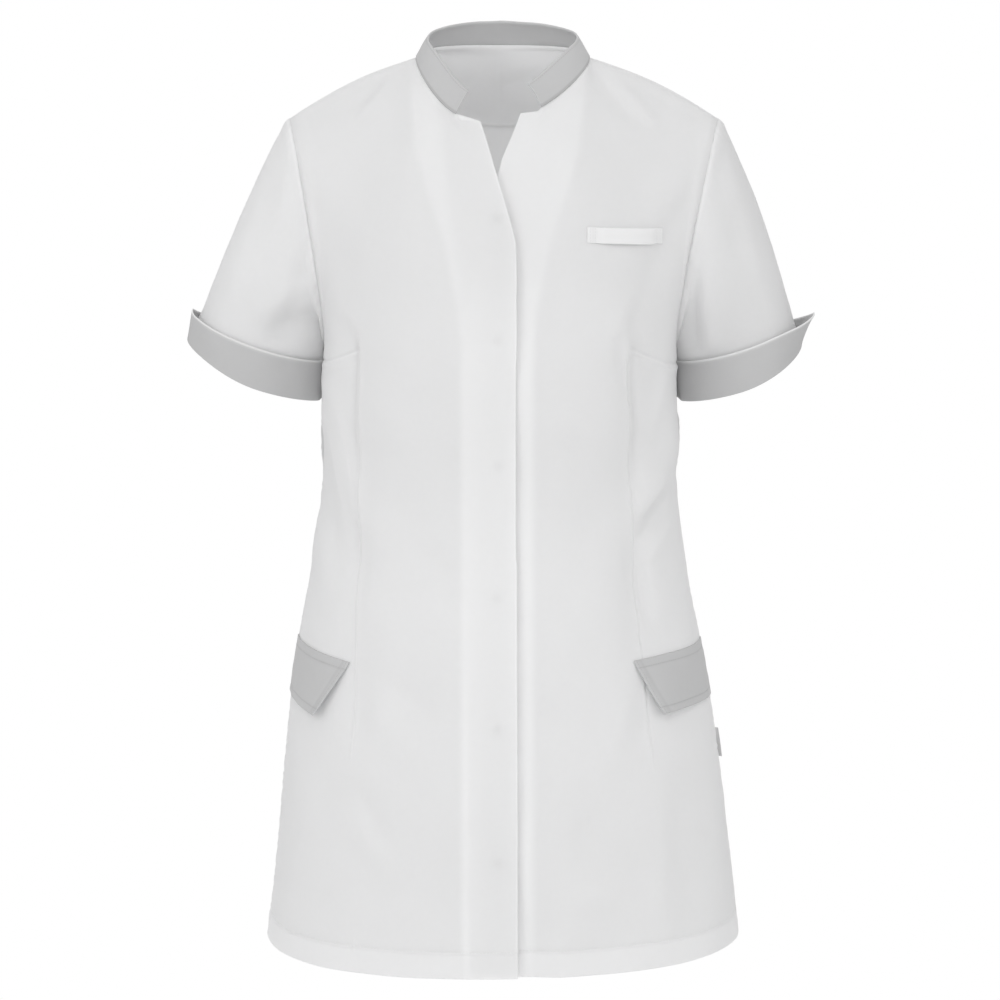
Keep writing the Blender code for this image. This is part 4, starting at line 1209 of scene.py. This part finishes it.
collar = {
    "sideHeight": 0.0255,
    "endHeight": 0.0235,
    "leanEnd": 0.50,
    "leanSide": 0.62,
    "leanBack": 0.58,
    "dip": 0.29,           # its top edge is this much lower at the sides
    "dipAt": 1.05,
    "dipFront": 0.45,
    "dipBack": 0.65,
    "endSlant": 0.35,
    "endShare": 0.8,
    "frontSet": 0.23,
    "lift": 0.0009,
    "columns": 110,
    "rows": 20,
    "wall": 0.0017,
    "crown": 0.0007,       # a slight swell between its edges
    "out": 0.0007,
    "swell": (0.018, 0.0008, 30),
    "pucker": (0.008, 0.00012, 1.0),
    "furrow": (0.93, 0.03, 0.0004),      # the edge stitching's place, width and depth
    # painted highlight along the top edge, and painted shade along the foot
    "edgeHighlightTone": 0.08,
    "footTone": (8.0, 0.028),
    "stitch": 0.0018,      # from its top edge
}


def collarPoints(half, share, up):
    foot = neckSeam(half, share)
    inward = unit(vec(-foot[0], -foot[1], 0))
    leanFront = mix(collar["leanEnd"], collar["leanSide"], smooth(share))
    lean = vec(0, 0, 1) + inward * mix(leanFront, collar["leanBack"], smooth(share - 1))
    slant = collar["endSlant"] * max(1 - share / collar["endShare"], 0.0)
    lean = unit(lean + vec(-slant, collar["frontSet"] * (1 - smooth(share)), 0))
    height = mix(collar["endHeight"], collar["sideHeight"], smooth(share / collar["endShare"]))
    width = collar["dipFront"] if share < collar["dipAt"] else collar["dipBack"]
    height *= 1 - collar["dip"] * exp(-((share - collar["dipAt"]) / width) ** 2)
    return toWorld(half, foot + vec(0, 0, collar["lift"]) + lean * (height * up))


def makeCollar():
    ups = np.concatenate([[-0.055, -0.03], np.linspace(0, 1, collar["rows"])])
    shares = 2 * np.linspace(0, 1, collar["columns"])
    rows = []
    for up in ups:
        first, second = ([collarPoints(half, share, up) for share in shares] for half in (right, left))
        rows.append(first + second[-2::-1])
    points = np.array(rows)
    outward = outwardFrom(points, (0, 0, 0))
    level = np.clip(ups, 0, 1)[:, None]
    place, width, depth = collar["furrow"]
    move = collar["crown"] * np.sin(pi * level) + unevenness(points, *collar["swell"]) * smooth(level / 0.25)
    move -= depth * bell(level - place, width)
    move += pucker(level * collar["sideHeight"], runOf(points, 1), *collar["pucker"]) * smooth(level / 0.1)
    points = points + gridNormals(points, outward) * (move + collar["out"])[..., None]
    # painted shade along the collar's foot, where it meets the neck, and a painted highlight on its top edge
    dark, soft = collar["footTone"]
    piece = shell("standCollar", points, outwardFrom(points, (0, 0, 0)), grey, collar["wall"],
                  1 - dark * bell(level, soft), edges=smooth((level - 0.965) / 0.03) * collar["edgeHighlightTone"])
    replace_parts(piece, "collar")
    return points


collarGrid = makeCollar()
print("collar made")


# sleeves and their turned-up cuffs

Sleeve = namedtuple("Sleeve", "half outerX outerZ innerX innerZ fallX fallZ cornerTop cornerFoot")
sleeves = [
    Sleeve(right, 0.2590, -0.218, 0.146, -0.262, -0.024, 0.060, 0.004, 0.006),
    Sleeve(left, 0.2545, -0.222, 0.148, -0.262, -0.017, 0.066, 0.012, 0.001),
]
sleeveCut = {
    "front": -0.065,
    "back": 0.035,
    "innerY": 0.050,
    "dip": 0.010,
    "shoulderOut": vec(0.013, 0.0, -0.012),
    "shift": 0.0,
    "clear": 0.0022,
    "cuffClear": 0.0006,
    "slack": 0.3,
    "fullness": 0.86,
    "sideOut": (0.016, -0.008),
    "sideFall": vec(-0.018, 0.0, 0.030),
    "shortColumn": 0.06,
    "end": 0.9,
    "tuck": ((0.0050, 0.0014), (0.0030, 0.0012), (0.0012, 0.0010)),   # rows under the body's edge: in, deep
    "columns": 84,
    "rows": 92,
    "swells": ((0.045, 0.0008, 40), (0.018, 0.00025, 44)),
    "pucker": (0.012, 0.0003, 2.0),
    "headEase": (0.0010, 0.006),       # the eased head stands a little full, this far from its seam
    "headLine": (0.9, 0.0018, 0.0014),     # the painted highlight beside the seam: tone, place and width
    # painted shade low on the sleeves' outer parts, and on the left sleeve's outer side
    "lowTone": 0.6,
    "leftTone": 0.7,
}
cuff = {
    "depth": 0.034,
    "flare": 0.0035,
    "stand": 0.0030,
    "wallStand": 0.0010,
    "gap": 0.0003,
    "cornerShare": 0.72,
    "run": vec(0.12, 0.0, -0.99),
    "rows": 20,
    "inside": 8,             # rows inside the sleeve
    "turn": 6,               # rows round the pressed edge
    "insideTop": 0.62,
    "wall": 0.0012,
    "crown": 0.0009,
    "swell": (0.022, 0.0010, 60),
    "tone": -2.0,
    # painted light and painted shade
    "bodyTone": 5.0,         # the right one is lighter at the body,
    "outerTone": 2.5,        # the left one darker outside
}


def keepOffBody(point, clear):
    over = max(point[2] - cut["underarm"], 0.0)
    point[0] = max(point[0], bodyHalfWidth(point[2], point[1]) + clear - sleeveCut["slack"] * over)
    return point


def roundTube(columns):
    # is it the back, and the share from the underarm up, for each column of a sleeve
    for index in range(2 * columns):
        yield index > columns, 1 - index / columns if index <= columns else index / columns - 1


def armholeRing(half, columns):
    return np.array([bezier(*armholeControls(half, isBack), t) for isBack, t in roundTube(columns)])


def sleeveRing(sleeve, columns, grow, clear):
    centreX = (sleeve.outerX + sleeve.innerX) / 2
    halfX = (sleeve.outerX - sleeve.innerX) / 2
    ring = []
    for index in range(2 * columns):
        turn = pi * index / columns
        across = cos(turn)
        bulge = abs(sin(turn)) ** sleeveCut["fullness"]
        share = (1 - across) / 2
        isBack = index > columns
        depth = sleeveCut["back"] if isBack else sleeveCut["front"]
        away = unit(vec(across, bulge * (1 if isBack else -1), 0))
        point = vec(centreX + halfX * across, sleeveCut["innerY"] * share + depth * bulge,
                    mix(sleeve.outerZ, sleeve.innerZ, share) - sleeveCut["dip"] * bulge)
        ring.append(keepOffBody(point + away * grow, clear))
    return np.array(ring)


def cuffRing(sleeve, columns, share, stand):
    ring = []
    clear = max(sleeveCut["clear"] - max(stand, 0), sleeveCut["cuffClear"])
    points = sleeveRing(sleeve, columns, stand + cuff["flare"] * share, clear)
    for index, point in enumerate(points):
        corner = max(cos(pi * index / columns), 0.0)
        run = cuff["depth"] * share * mix(1.0, cuff["cornerShare"], corner**2)
        low = point + cuff["run"] * run
        low[0] += mix(sleeve.cornerTop * max(stand, 0) / cuff["stand"], sleeve.cornerFoot, share) * corner**6
        ring.append(keepOffBody(low, clear))
    return np.array(ring)


def tuckRow(half, columns, inward, depth):
    # a row of the sleeve head's turning, under the body's edge
    row = []
    for isBack, t in roundTube(columns):
        u = 1 - inward / ringLength(cut["underarm"], isBack)
        row.append(plainPoint(half, u, 1 + t, isBack) - surfaceNormal(half, u, 1 + t, isBack) * depth)
    return row


def sleeveGrid(sleeve, columns, rows):
    head = armholeRing(sleeve.half, columns)
    hem = sleeveRing(sleeve, columns, 0.0, sleeveCut["clear"])
    out = [tuckRow(sleeve.half, columns, inward, depth) for inward, depth in sleeveCut["tuck"]]
    for t in np.concatenate([[0, 0.004, 0.010, 0.018, 0.028], np.linspace(0.04, 1, rows)]):
        row = []
        for index, (start, end) in enumerate(zip(head, hem)):
            turn = pi * index / columns
            top = max(cos(turn), 0.0)
            first = start + vec(sleeveCut["shift"], 0, 0)
            sideOut = vec(sleeveCut["sideOut"][0], sleeveCut["sideOut"][1] * sin(turn), 0.0)
            leave = mix(sideOut, sleeveCut["shoulderOut"], top)
            come = mix(sleeveCut["sideFall"], vec(sleeve.fallX, 0.0, sleeve.fallZ), top)
            size = min(1.0, float(np.linalg.norm(end - first)) / sleeveCut["shortColumn"])
            point = bezier(first, first + leave * size, end + come * size, end, t)
            row.append(keepOffBody(point, mix(sleeveCut["shift"], sleeveCut["clear"], min(1.0, 3 * t))))
        out.append(row)
    return np.array(out)


sleeveCreases = {
    "Right": [
        (0.176, -0.070, 0.205, -0.175, 0.010, 0.0019, 0.004),
        (0.190, -0.085, 0.224, -0.190, 0.010, -0.0016, 0.004),
        (0.156, -0.222, 0.202, -0.246, 0.015, -0.0050, -0.005),
        (0.154, -0.192, 0.206, -0.226, 0.011, 0.0030, -0.008),
        (0.158, -0.150, 0.182, -0.215, 0.010, -0.0022, 0.004),
        (0.210, -0.120, 0.236, -0.215, 0.012, 0.0018, 0.004),
    ],
    "Left": [
        (0.184, -0.068, 0.210, -0.170, 0.010, -0.0016, 0.004),
        (0.196, -0.080, 0.226, -0.190, 0.010, 0.0019, 0.004),
        (0.168, -0.180, 0.172, -0.262, 0.007, -0.0030, 0.003, 0.2),
        (0.178, -0.170, 0.186, -0.262, 0.009, 0.0032, 0.003),
        (0.160, -0.160, 0.161, -0.255, 0.008, 0.0019, 0.002),
        (0.206, -0.120, 0.222, -0.230, 0.014, -0.0019, 0.005),
    ],
}


def worldGrid(half, rows):
    return np.array([[toWorld(half, point) for point in row] for row in rows])


def outOfTube(points):
    # away from the tube's own middle line
    return points - points.mean(axis=1, keepdims=True)


def makeSleeve(sleeve):
    half, columns = sleeve.half, sleeveCut["columns"]
    rows = list(sleeveGrid(sleeve, columns, sleeveCut["rows"]))
    rows += [cuffRing(sleeve, columns, share, 0.0) for share in np.linspace(0, sleeveCut["end"], 11)[1:]]
    local = np.array(rows)
    points = worldGrid(half, local)
    outward = outOfTube(points)
    normals = gridNormals(points, outward, closed=True)
    x, z = local[..., 0], local[..., 2]
    creases = [Crease(*row) for row in sleeveCreases[half.name]]
    behind = [Crease(c.x0 + 0.006, c.z0 - 0.01, c.x1 - 0.004, c.z1, c.width * 1.1, c.rise * 0.8, c.bow)
              for c in creases]
    move = mix(creaseHeights(x, z, behind), creaseHeights(x, z, creases), smooth(-local[..., 1] / 0.02 + 0.3))
    tucked, count = len(sleeveCut["tuck"]), len(rows)
    fromHead = np.linalg.norm(points - points[tucked:tucked + 1], axis=2)
    isTucked = (np.arange(count) < tucked)[:, None]
    quiet = smooth(fromHead / 0.010) * smooth((count - 12 - np.arange(count)[:, None]) / 10.0)
    for size, height, seed in sleeveCut["swells"]:
        move += unevenness(points, size, height, seed + half.sign)
    move = move * quiet + 0.4 * seamRoll(fromHead)
    along = np.cumsum(np.linalg.norm(np.diff(points, axis=1, append=points[:, :1]), axis=2), axis=1)
    move += pucker(fromHead, along, *sleeveCut["pucker"])
    atTop = np.clip(np.cos(pi * np.arange(points.shape[1]) / columns), 0, 1)[None, :]
    full, place = sleeveCut["headEase"]
    move += full * atTop * bell(fromHead - place, place)
    points = points + normals * np.where(isTucked, 0, np.minimum(move, 0.003))[..., None]
    # a painted highlight beside the head seam; painted shade low on the outer sleeve, and on the left
    # sleeve's outer side
    light, place, width = sleeveCut["headLine"]
    layers = light * bell(fromHead - place, width) * (1 - isTucked) * smooth((z + 0.235) / 0.06)
    layers = layers - sleeveCut["lowTone"] * smooth((-0.16 - z) / 0.08) * smooth((x - 0.165) / 0.03)
    if half is left:
        layers = layers - sleeveCut["leftTone"] * smooth((x - 0.165) / 0.04)
    piece = shell("sleeve" + half.name, points, outward, white, layers=layers, closed=True)
    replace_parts(piece, "sleeve_" + half.name.lower())


def makeCuff(sleeve):
    # from inside the sleeve down round the pressed edge, up outside, and over the top edge
    half, inside, turned = sleeve.half, cuff["inside"], cuff["inside"] + cuff["turn"]
    inner, outer = -(cloth["single"] + 0.0011), cuff["wallStand"]
    profile = [(share, inner) for share in np.linspace(cuff["insideTop"], 1.0, inside)]
    profile += [(1.0 + 0.035 * sin(a), mix(inner, outer + cuff["gap"], (1 - cos(a)) / 2))
                for a in np.linspace(0, pi, cuff["turn"] + 2)[1:-1]]
    shares = np.linspace(1.0, 0.0, cuff["rows"])
    profile += [(share, outer + mix(cuff["stand"], cuff["gap"], share)) for share in shares]
    local = np.array([cuffRing(sleeve, sleeveCut["columns"], share, stand) for share, stand in profile])
    points = worldGrid(half, local)
    isOuter = (np.arange(len(profile)) >= turned)[:, None]
    outward = outOfTube(points) * np.where(isOuter, 1, -1)[..., None]
    outward[inside:turned] = vec(0, 0, -1)
    share = np.array([p[0] for p in profile])[:, None]
    size, height, seed = cuff["swell"]
    swell = unevenness(points, size, height, seed + half.sign) * np.clip(1 - share, 0, 1) ** 0.5
    move = (cuff["crown"] * np.sin(pi * np.clip(share, 0, 1)) + swell) * isOuter
    points = points + gridNormals(points, outward, closed=True) * move[..., None]
    # painted light on the right cuff towards the body, painted shade on the left cuff's outer end
    if half is right:
        tone = cuff["tone"] + cuff["bodyTone"] * smooth((0.190 - local[..., 0]) / 0.03)
    else:
        tone = cuff["tone"] - cuff["outerTone"] * smooth((local[..., 0] - 0.225) / 0.03)
    # a painted highlight along the top edge of the cuff's outer side
    piece = shell("cuff" + half.name, points, outward, grey, cuff["wall"], tone, closed=True,
                  edges=smooth((0.06 - share) / 0.03) * isOuter)
    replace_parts(piece, "cuff_" + half.name.lower())


for sleeve in sleeves:
    makeSleeve(sleeve)
    makeCuff(sleeve)
print("sleeves and cuffs made")


# pocket flaps

# where its inner end lies, top and bottom, and how far each corner drops
Flap = namedtuple("Flap", "half topX bottomX innerTop innerFoot outerTop outerFoot")
flaps = [
    Flap(right, 0.1304, 0.1544, 0.0070, 0.0044, 0.0022, -0.0014),
    Flap(left, 0.1165, 0.1350, 0.0040, -0.0009, 0.0048, 0.0035),
]
flapCut = {
    "top": -0.506,
    "depth": 0.051,
    "lift": 0.0090,
    "ease": 0.0008,
    "arch": 0.0026,         # its edges bow up, and look straight from the front
    "side": 0.995,
    "columns": 60,
    "rows": 44,
    "wall": 0.0012,
    "swell": (0.016, 0.0005, 80),
    "stitchTop": 0.0068,
    "stitchFoot": 0.0062,
    "stitchEnd": 0.0025,
    "stitchDent": (0.00040, 0.0009),
    "stitchTone": (5.0, 0.0006),
}


def flapPoint(flap, across, down):
    bow = 4 * flapCut["arch"] * across * (1 - across)
    level = flapCut["top"] - flapCut["depth"] * down
    inner = level - mix(flap.innerTop, flap.innerFoot, down)
    outer = level - mix(flap.outerTop, flap.outerFoot, down)
    start = shareAtX(inner, mix(flap.topX, flap.bottomX, down), False)
    v = (mix(inner, outer, across) + bow - cut["hem"]) / (cut["underarm"] - cut["hem"])
    return panelPoint(flap.half, mix(start, flapCut["side"], across), v, False)


def flapLift(across, down):
    # sewn flat along the top and into the side seam, loose below, its front lower corner standing off
    lift = flapCut["lift"] * (1 - across) ** 2.6 * down ** 1.1
    loose = smooth(down / 0.3) * (1 - smooth((across - 0.85) / 0.15))
    return lift + flapCut["ease"] * loose + flapCut["wall"] + 0.00015 - 0.0005 * smooth((across - 0.9) / 0.1)


def makeFlap(flap):
    across = np.linspace(0, 1, flapCut["columns"])
    down = np.linspace(0, 1, flapCut["rows"])
    plain = np.array([[flapPoint(flap, a, d) for a in across] for d in down])
    normals = gridNormals(plain)
    reach = reachOnto(plain, normals, gridTree(fronts[flap.half.name]))
    for _ in range(3):       # pressed cloth bridges the finest creases below it
        reach[1:-1] = np.maximum(reach[1:-1], (reach[:-2] + reach[2:]) / 2)
        reach[:, 1:-1] = np.maximum(reach[:, 1:-1], (reach[:, :-2] + reach[:, 2:]) / 2)
    downs, acrosses = np.meshgrid(down, across, indexing="ij")
    points = plain + normals * (reach + flapLift(acrosses, downs))[..., None]
    fromTop = downs * flapCut["depth"]
    seams = (fromTop - flapCut["stitchTop"], flapCut["depth"] - fromTop - flapCut["stitchFoot"],
             acrosses * 0.055 - flapCut["stitchEnd"])
    free = smooth(downs / 0.35) * (1 - smooth((acrosses - 0.8) / 0.2))
    size, height, seed = flapCut["swell"]
    move = unevenness(points, size, height, seed + flap.half.sign) * free
    tone = 1.0
    for seam in seams:
        dent, dark = flapCut["stitchDent"], flapCut["stitchTone"]
        move -= dent[0] * bell(seam, dent[1]) * (0.3 + 0.7 * free)
        tone = tone - dark[0] * bell(seam, dark[1])
    points = points + normals * move[..., None]
    piece = shell("pocketFlap" + flap.half.name, points, outwardFrom(points), grey,
                  flapCut["wall"], tone)
    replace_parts(piece, "pocket_flap_" + flap.half.name.lower())
    return points


flapGrids = [makeFlap(flap) for flap in flaps]
print("pocket flaps made")


# the chest loop, on the wearer's left

loop = {
    "start": (0.0735, -0.1455),
    "end": (0.1375, -0.1490),
    "width": 0.0125,
    "bow": 0.0024,
    "sag": 0.0009,
    "wall": 0.0011,
    "columns": 60,
    "rows": 12,
    "stitches": (0.0022, 0.0068),    # from each end
}


def spotOn(points, normals, x, z):
    # the spot of a front's grid at a world x and z: the nearest point, slid along its tangent plane
    away = (points[..., 0] - x) ** 2 + (points[..., 2] - z) ** 2 + (points[..., 1] > 0) * 1.0
    i, j = np.unravel_index(np.argmin(away), away.shape)
    point, normal = points[i, j], normals[i, j]
    dx, dz = x - point[0], z - point[2]
    return point + vec(dx, -(normal[0] * dx + normal[2] * dz) / normal[1], dz), normal


def makeLoop():
    front = fronts["Left"]
    normals = gridNormals(front)
    rows = []
    for side in np.linspace(-0.5, 0.5, loop["rows"]):
        row = []
        for share in np.linspace(0, 1, loop["columns"]):
            x = mix(loop["start"][0], loop["end"][0], share)
            free = smooth((share - 0.10) / 0.10) * smooth((0.93 - share) / 0.10)
            z = mix(loop["start"][1], loop["end"][1], share) + loop["width"] * side
            z -= loop["sag"] * sin(pi * share) * free
            point, normal = spotOn(front, normals, x, z)
            bow = free * sin(pi * share) * (loop["bow"] + 0.0010 * (0.5 - side))
            row.append(point + normal * (loop["wall"] + 0.0003 + bow))
        rows.append(row)
    points = np.array(rows)
    points[1:-1, 1:-1] = (points[1:-1, 1:-1] * 2 + points[1:-1, :-2] + points[1:-1, 2:]) / 4
    piece = shell("chestLoop", points, outwardFrom(points), white, loop["wall"], 1.0)
    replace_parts(piece, "chest_loop")
    return points


loopGrid = makeLoop()


# the bare tab in the side seam

tab = {"top": -0.594, "height": 0.026, "reach": 0.0026, "wall": 0.0006, "tone": 3.5, "rows": 26,
       "columns": 7}


def makeTab():
    rows = []
    for down in np.linspace(0, 1, tab["rows"]):
        v = (tab["top"] - tab["height"] * down - cut["hem"]) / (cut["underarm"] - cut["hem"])
        seam = panelPoint(left, 1.0, v, False)
        row = []
        for out in np.linspace(-0.25, 1, tab["columns"]):
            row.append(seam + vec(tab["reach"] * out, 0.0006 * sin(3 * down + 2 * out), -0.0004 * out))
        rows.append(row)
    points = np.array(rows)
    piece = shell("sideTab", points, np.zeros_like(points) + vec(0, -1, 0), grey, tab["wall"],
                  tab["tone"])
    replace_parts(piece, "side_tab")


makeTab()
print("loop and tab made")

# press snaps between the lap and the underlap: a rimmed socket with a stud

snap = {"radius": 0.0045, "half": 0.0008, "turns": 32}
snapProfile = [(0.0, -0.3), (0.55, -0.35), (0.62, -1.0), (0.90, -1.0), (1.0, -0.6), (1.0, 0.6), (0.90, 1.0),
               (0.62, 1.0), (0.52, 0.4), (0.40, 0.35), (0.34, 0.8), (0.20, 1.0), (0.0, 1.0)]


def makeSnap(index):
    node, turns = "snap_%d" % index, snap["turns"]
    middle = np.array(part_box(node)).mean(axis=0)
    front = fronts["Right"]
    axis = spotOn(front, gridNormals(front), middle[0], middle[2])[1]
    side = unit(np.cross(axis, vec(0, 0, 1)))
    up = np.cross(side, axis)
    verts = []
    for r, height in snapProfile[1:-1]:
        for turn in np.arange(turns) * 2 * pi / turns:
            ring = (side * cos(turn) + up * sin(turn)) * r * snap["radius"]
            verts.append(middle + ring + axis * height * snap["half"])
    last = len(snapProfile) - 3
    faces = []
    for t in range(turns):
        after = (t + 1) % turns
        faces += [[a + t, a + after, a + turns + after, a + turns + t] for a in range(0, last * turns, turns)]
        faces.append([len(verts), after, t])
        faces.append([len(verts) + 1, last * turns + t, last * turns + after])
    verts += [middle + axis * end[1] * snap["half"] for end in (snapProfile[0], snapProfile[-1])]
    mesh = bpy.data.meshes.new("snap%d" % index)
    mesh.from_pydata([tuple(v) for v in verts], [], faces)
    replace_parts(finishPiece("snap%d" % index, mesh, nickel), node)


for index in range(1, 7):
    makeSnap(index)
print("snaps made")


# stitches: Geometry Nodes puts one small capsule on each point of a line

thread = {
    "pitch": 0.0030,
    "edgePitch": 0.0026,
    "loopPitch": 0.0022,
    "length": 0.0023,
    "radius": 0.00017,
    "sink": 0.00002,
    "seed": 7,
}


def stitchTree():
    tree = bpy.data.node_groups.new("stitches", "GeometryNodeTree")
    face = tree.interface
    asked = (("Geometry", "Geometry", None), ("Length", "Float", thread["length"]),
             ("Radius", "Float", thread["radius"]), ("Seed", "Int", thread["seed"]),
             ("Thread", "Material", None))
    for name, kind, value in asked:
        socket = face.new_socket(name, in_out="INPUT", socket_type="NodeSocket" + kind)
        if value is not None:
            socket.default_value = value
    face.new_socket("Geometry", in_out="OUTPUT", socket_type="NodeSocketGeometry")
    make = Sock(tree)
    start = make.node("NodeGroupInput")
    given = {name: Sock(tree, start.outputs[name]) for name, kind, value in asked}
    bead = make.get("GeometryNodeMeshUVSphere", "Mesh", None, {"Segments": 6, "Rings": 5, "Radius": 0.5})
    width = given["Radius"] * 2.0
    size = make.get("ShaderNodeCombineXYZ", 0, None, {0: width, 1: width, 2: given["Length"]})
    shaped = make.get("GeometryNodeTransform", 0, None, {"Geometry": bead, "Scale": size})
    way = make.get("GeometryNodeInputNamedAttribute", 0, {"data_type": "FLOAT_VECTOR"}, {"Name": "way"})
    turn = make.get("FunctionNodeAlignRotationToVector", 0, {"axis": "Z"}, {"Vector": way})
    vary = make.get("FunctionNodeRandomValue", 1, {"data_type": "FLOAT"},
                    {2: 0.86, 3: 1.10, "Seed": given["Seed"]})
    stitch = make.get("GeometryNodeInstanceOnPoints", 0, None,
                      {"Points": given["Geometry"], "Instance": shaped, "Rotation": turn, "Scale": vary})
    real = make.get("GeometryNodeRealizeInstances", 0, None, {0: stitch})
    painted = make.get("GeometryNodeSetMaterial", 0, None, {"Geometry": real, "Material": given["Thread"]})
    make.node("NodeGroupOutput", None, {0: painted})
    return tree


def stitchLine(line, pitch=thread["pitch"]):
    # evenly spaced places along a line that lies on a surface, with the line's direction at each
    points, normals = line
    run = np.concatenate([[0.0], np.cumsum(np.linalg.norm(np.diff(points, axis=0), axis=1))])
    count = max(int(run[-1] / pitch), 1)
    places = (np.arange(count) + 0.5) * run[-1] / count

    def read(values, at):
        return np.stack([np.interp(at, run, values[:, k]) for k in range(3)], 1)

    ways = read(points, places + 0.0005) - read(points, places - 0.0005)
    return read(points, places) + unit(read(normals, places)) * thread["sink"], unit(ways)


def makeStitches(name, lines, material):
    mesh = bpy.data.meshes.new(name)
    mesh.from_pydata(np.concatenate([line[0] for line in lines]).tolist(), [], [])
    ways = np.concatenate([line[1] for line in lines]).astype(np.float32)
    mesh.attributes.new("way", "FLOAT_VECTOR", "POINT").data.foreach_set("vector", ways.ravel())
    piece = bpy.data.objects.new(name, mesh)
    scene.collection.objects.link(piece)
    tree = bpy.data.node_groups.get("stitches") or stitchTree()
    modifier = piece.modifiers.new("stitches", "NODES")
    modifier.node_group = tree
    wanted = {"Length": thread["length"], "Radius": thread["radius"], "Seed": thread["seed"],
              "Thread": material}
    for item in tree.interface.items_tree:
        if item.item_type == "SOCKET" and item.in_out == "INPUT" and item.name in wanted:
            modifier[item.identifier] = wanted[item.name]
    done = bpy.data.meshes.new_from_object(piece.evaluated_get(bpy.context.evaluated_depsgraph_get()))
    piece.modifiers.clear()
    piece.data = done
    done.shade_smooth()
    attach(piece, "root")


def gridLine(points, outward, where):
    # a line over a grid, with the normals along it; where is (row, column) pairs, which may be fractions
    i, j = where[:, 0], where[:, 1]
    low = np.floor(i).astype(int).clip(0, points.shape[0] - 2)
    side = np.floor(j).astype(int).clip(0, points.shape[1] - 2)
    a, b = (i - low)[:, None], (j - side)[:, None]

    def read(values):
        return mix(mix(values[low, side], values[low, side + 1], b),
                   mix(values[low + 1, side], values[low + 1, side + 1], b), a)

    return read(points), read(gridNormals(points, outward))


def rowAtDistance(points, distance, fromEnd):
    # for each column, the fractional row that lies a distance from the first (or last) row
    run = runOf(points[::-1] if fromEnd else points, 0)
    rows = np.array([np.interp(distance, run[:, j], np.arange(len(run))) for j in range(run.shape[1])])
    return len(run) - 1 - rows if fromEnd else rows


def alongRows(points, outward, distance, fromEnd=False):
    rows = rowAtDistance(points, distance, fromEnd)
    return gridLine(points, outward, np.stack([rows, np.arange(len(rows))], 1))


def alongColumns(points, outward, distance, fromEnd=False):
    columns = rowAtDistance(points.transpose(1, 0, 2), distance, fromEnd)
    return gridLine(points, outward, np.stack([np.arange(len(columns)), columns], 1))


def whiteStitches():
    hems = (fronts["Right"], fronts["Left"], backPoints)
    lines = [stitchLine(alongRows(points, outwardFrom(points), panel["hemBand"])) for points in hems]
    out = outwardFrom(loopGrid)
    for distance in loop["stitches"]:
        for fromEnd in (False, True):
            lines.append(stitchLine(alongColumns(loopGrid, out, distance, fromEnd), thread["loopPitch"]))
    makeStitches("stitchesWhite", lines, whiteThread)


def greyStitches():
    pitch = thread["edgePitch"]
    lines = []
    for points in flapGrids:
        out = outwardFrom(points)
        lines.append(stitchLine(alongRows(points, out, flapCut["stitchTop"]), pitch))
        lines.append(stitchLine(alongRows(points, out, flapCut["stitchFoot"], True), pitch))
        lines.append(stitchLine(alongColumns(points, out, flapCut["stitchEnd"]), pitch))
    out = outwardFrom(collarGrid, (0, 0, 0))
    lines.append(stitchLine(alongRows(collarGrid, out, collar["stitch"], True), pitch))
    makeStitches("stitchesGrey", lines, greyThread)


whiteStitches()
greyStitches()
print("stitches made")


# floor, light and camera

studio = {
    "floorLevel": -1.60,
    "floorRadius": 2.2,
    "surround": 0.74,
    "aim": (0, 0, -0.35),
    "lens": 124.33,
    "eye": (0, -3.0, 0.10),      # a little above the middle, level with the neck
    "target": (0, 0, -0.387),
}
Lamp = namedtuple("Lamp", "name place power size")
lamps = [
    Lamp("key", (-2.2, -2.1, 0.90), 19.0, 1.6),
    Lamp("fill", (2.1, -2.2, 0.70), 14.0, 1.6),
    Lamp("front", (-0.1, -2.6, 1.30), 11.0, 1.0),
    Lamp("back", (0.0, 2.3, 1.70), 17.0, 1.6),
]


def makeFloor(turns=96):
    mesh = bpy.data.meshes.new("floor")
    angles = [2 * pi * t / turns for t in range(turns)]
    radius = studio["floorRadius"]
    ring = [(radius * cos(angle), radius * sin(angle), studio["floorLevel"]) for angle in angles]
    mesh.from_pydata(ring, [], [list(range(turns))])
    pale, shader, make = newMaterial("palePaper")
    tone = make.tint((0.96, 0.96, 0.96), make.noise(3.0) * 0.02 + 0.98)
    make.fill(shader, {"Base Color": tone, "Roughness": 0.9})
    mesh.materials.append(pale)
    floor = bpy.data.objects.new("floor", mesh)
    scene.collection.objects.link(floor)


def makeWorld():
    # seen white, and a little darker where it lights the cloth
    world = bpy.data.worlds.new("paleStudio")
    scene.world = world
    world.use_nodes = True
    make = Sock(world.node_tree)
    shades = [make.get("ShaderNodeBackground", 0, None, {"Color": (1, 1, 1, 1), "Strength": strength})
              for strength in (studio["surround"], 1.0)]
    seen = make.get("ShaderNodeLightPath", "Is Camera Ray")
    both = make.get("ShaderNodeMixShader", 0, None, {"Fac": seen, 1: shades[0], 2: shades[1]})
    make.fill(world.node_tree.nodes["World Output"], {"Surface": both})


def aim(piece, place, target):
    piece.location = place
    piece.rotation_euler = (Vector(target) - Vector(place)).to_track_quat("-Z", "Y").to_euler()
    scene.collection.objects.link(piece)


def addLamp(lamp):
    light = bpy.data.lights.new(lamp.name, "AREA")
    light.energy = lamp.power
    light.size = lamp.size
    aim(bpy.data.objects.new(lamp.name, light), lamp.place, studio["aim"])


def addCamera():
    camera = bpy.data.cameras.new("camera")
    camera.sensor_width = 36.0
    camera.lens = studio["lens"]
    scene.camera = bpy.data.objects.new("camera", camera)
    aim(scene.camera, studio["eye"], studio["target"])


makeFloor()
makeWorld()
for lamp in lamps:
    addLamp(lamp)
addCamera()
scene.view_settings.view_transform = "Standard"
scene.view_settings.look = "None"
print("floor, light and camera ready")
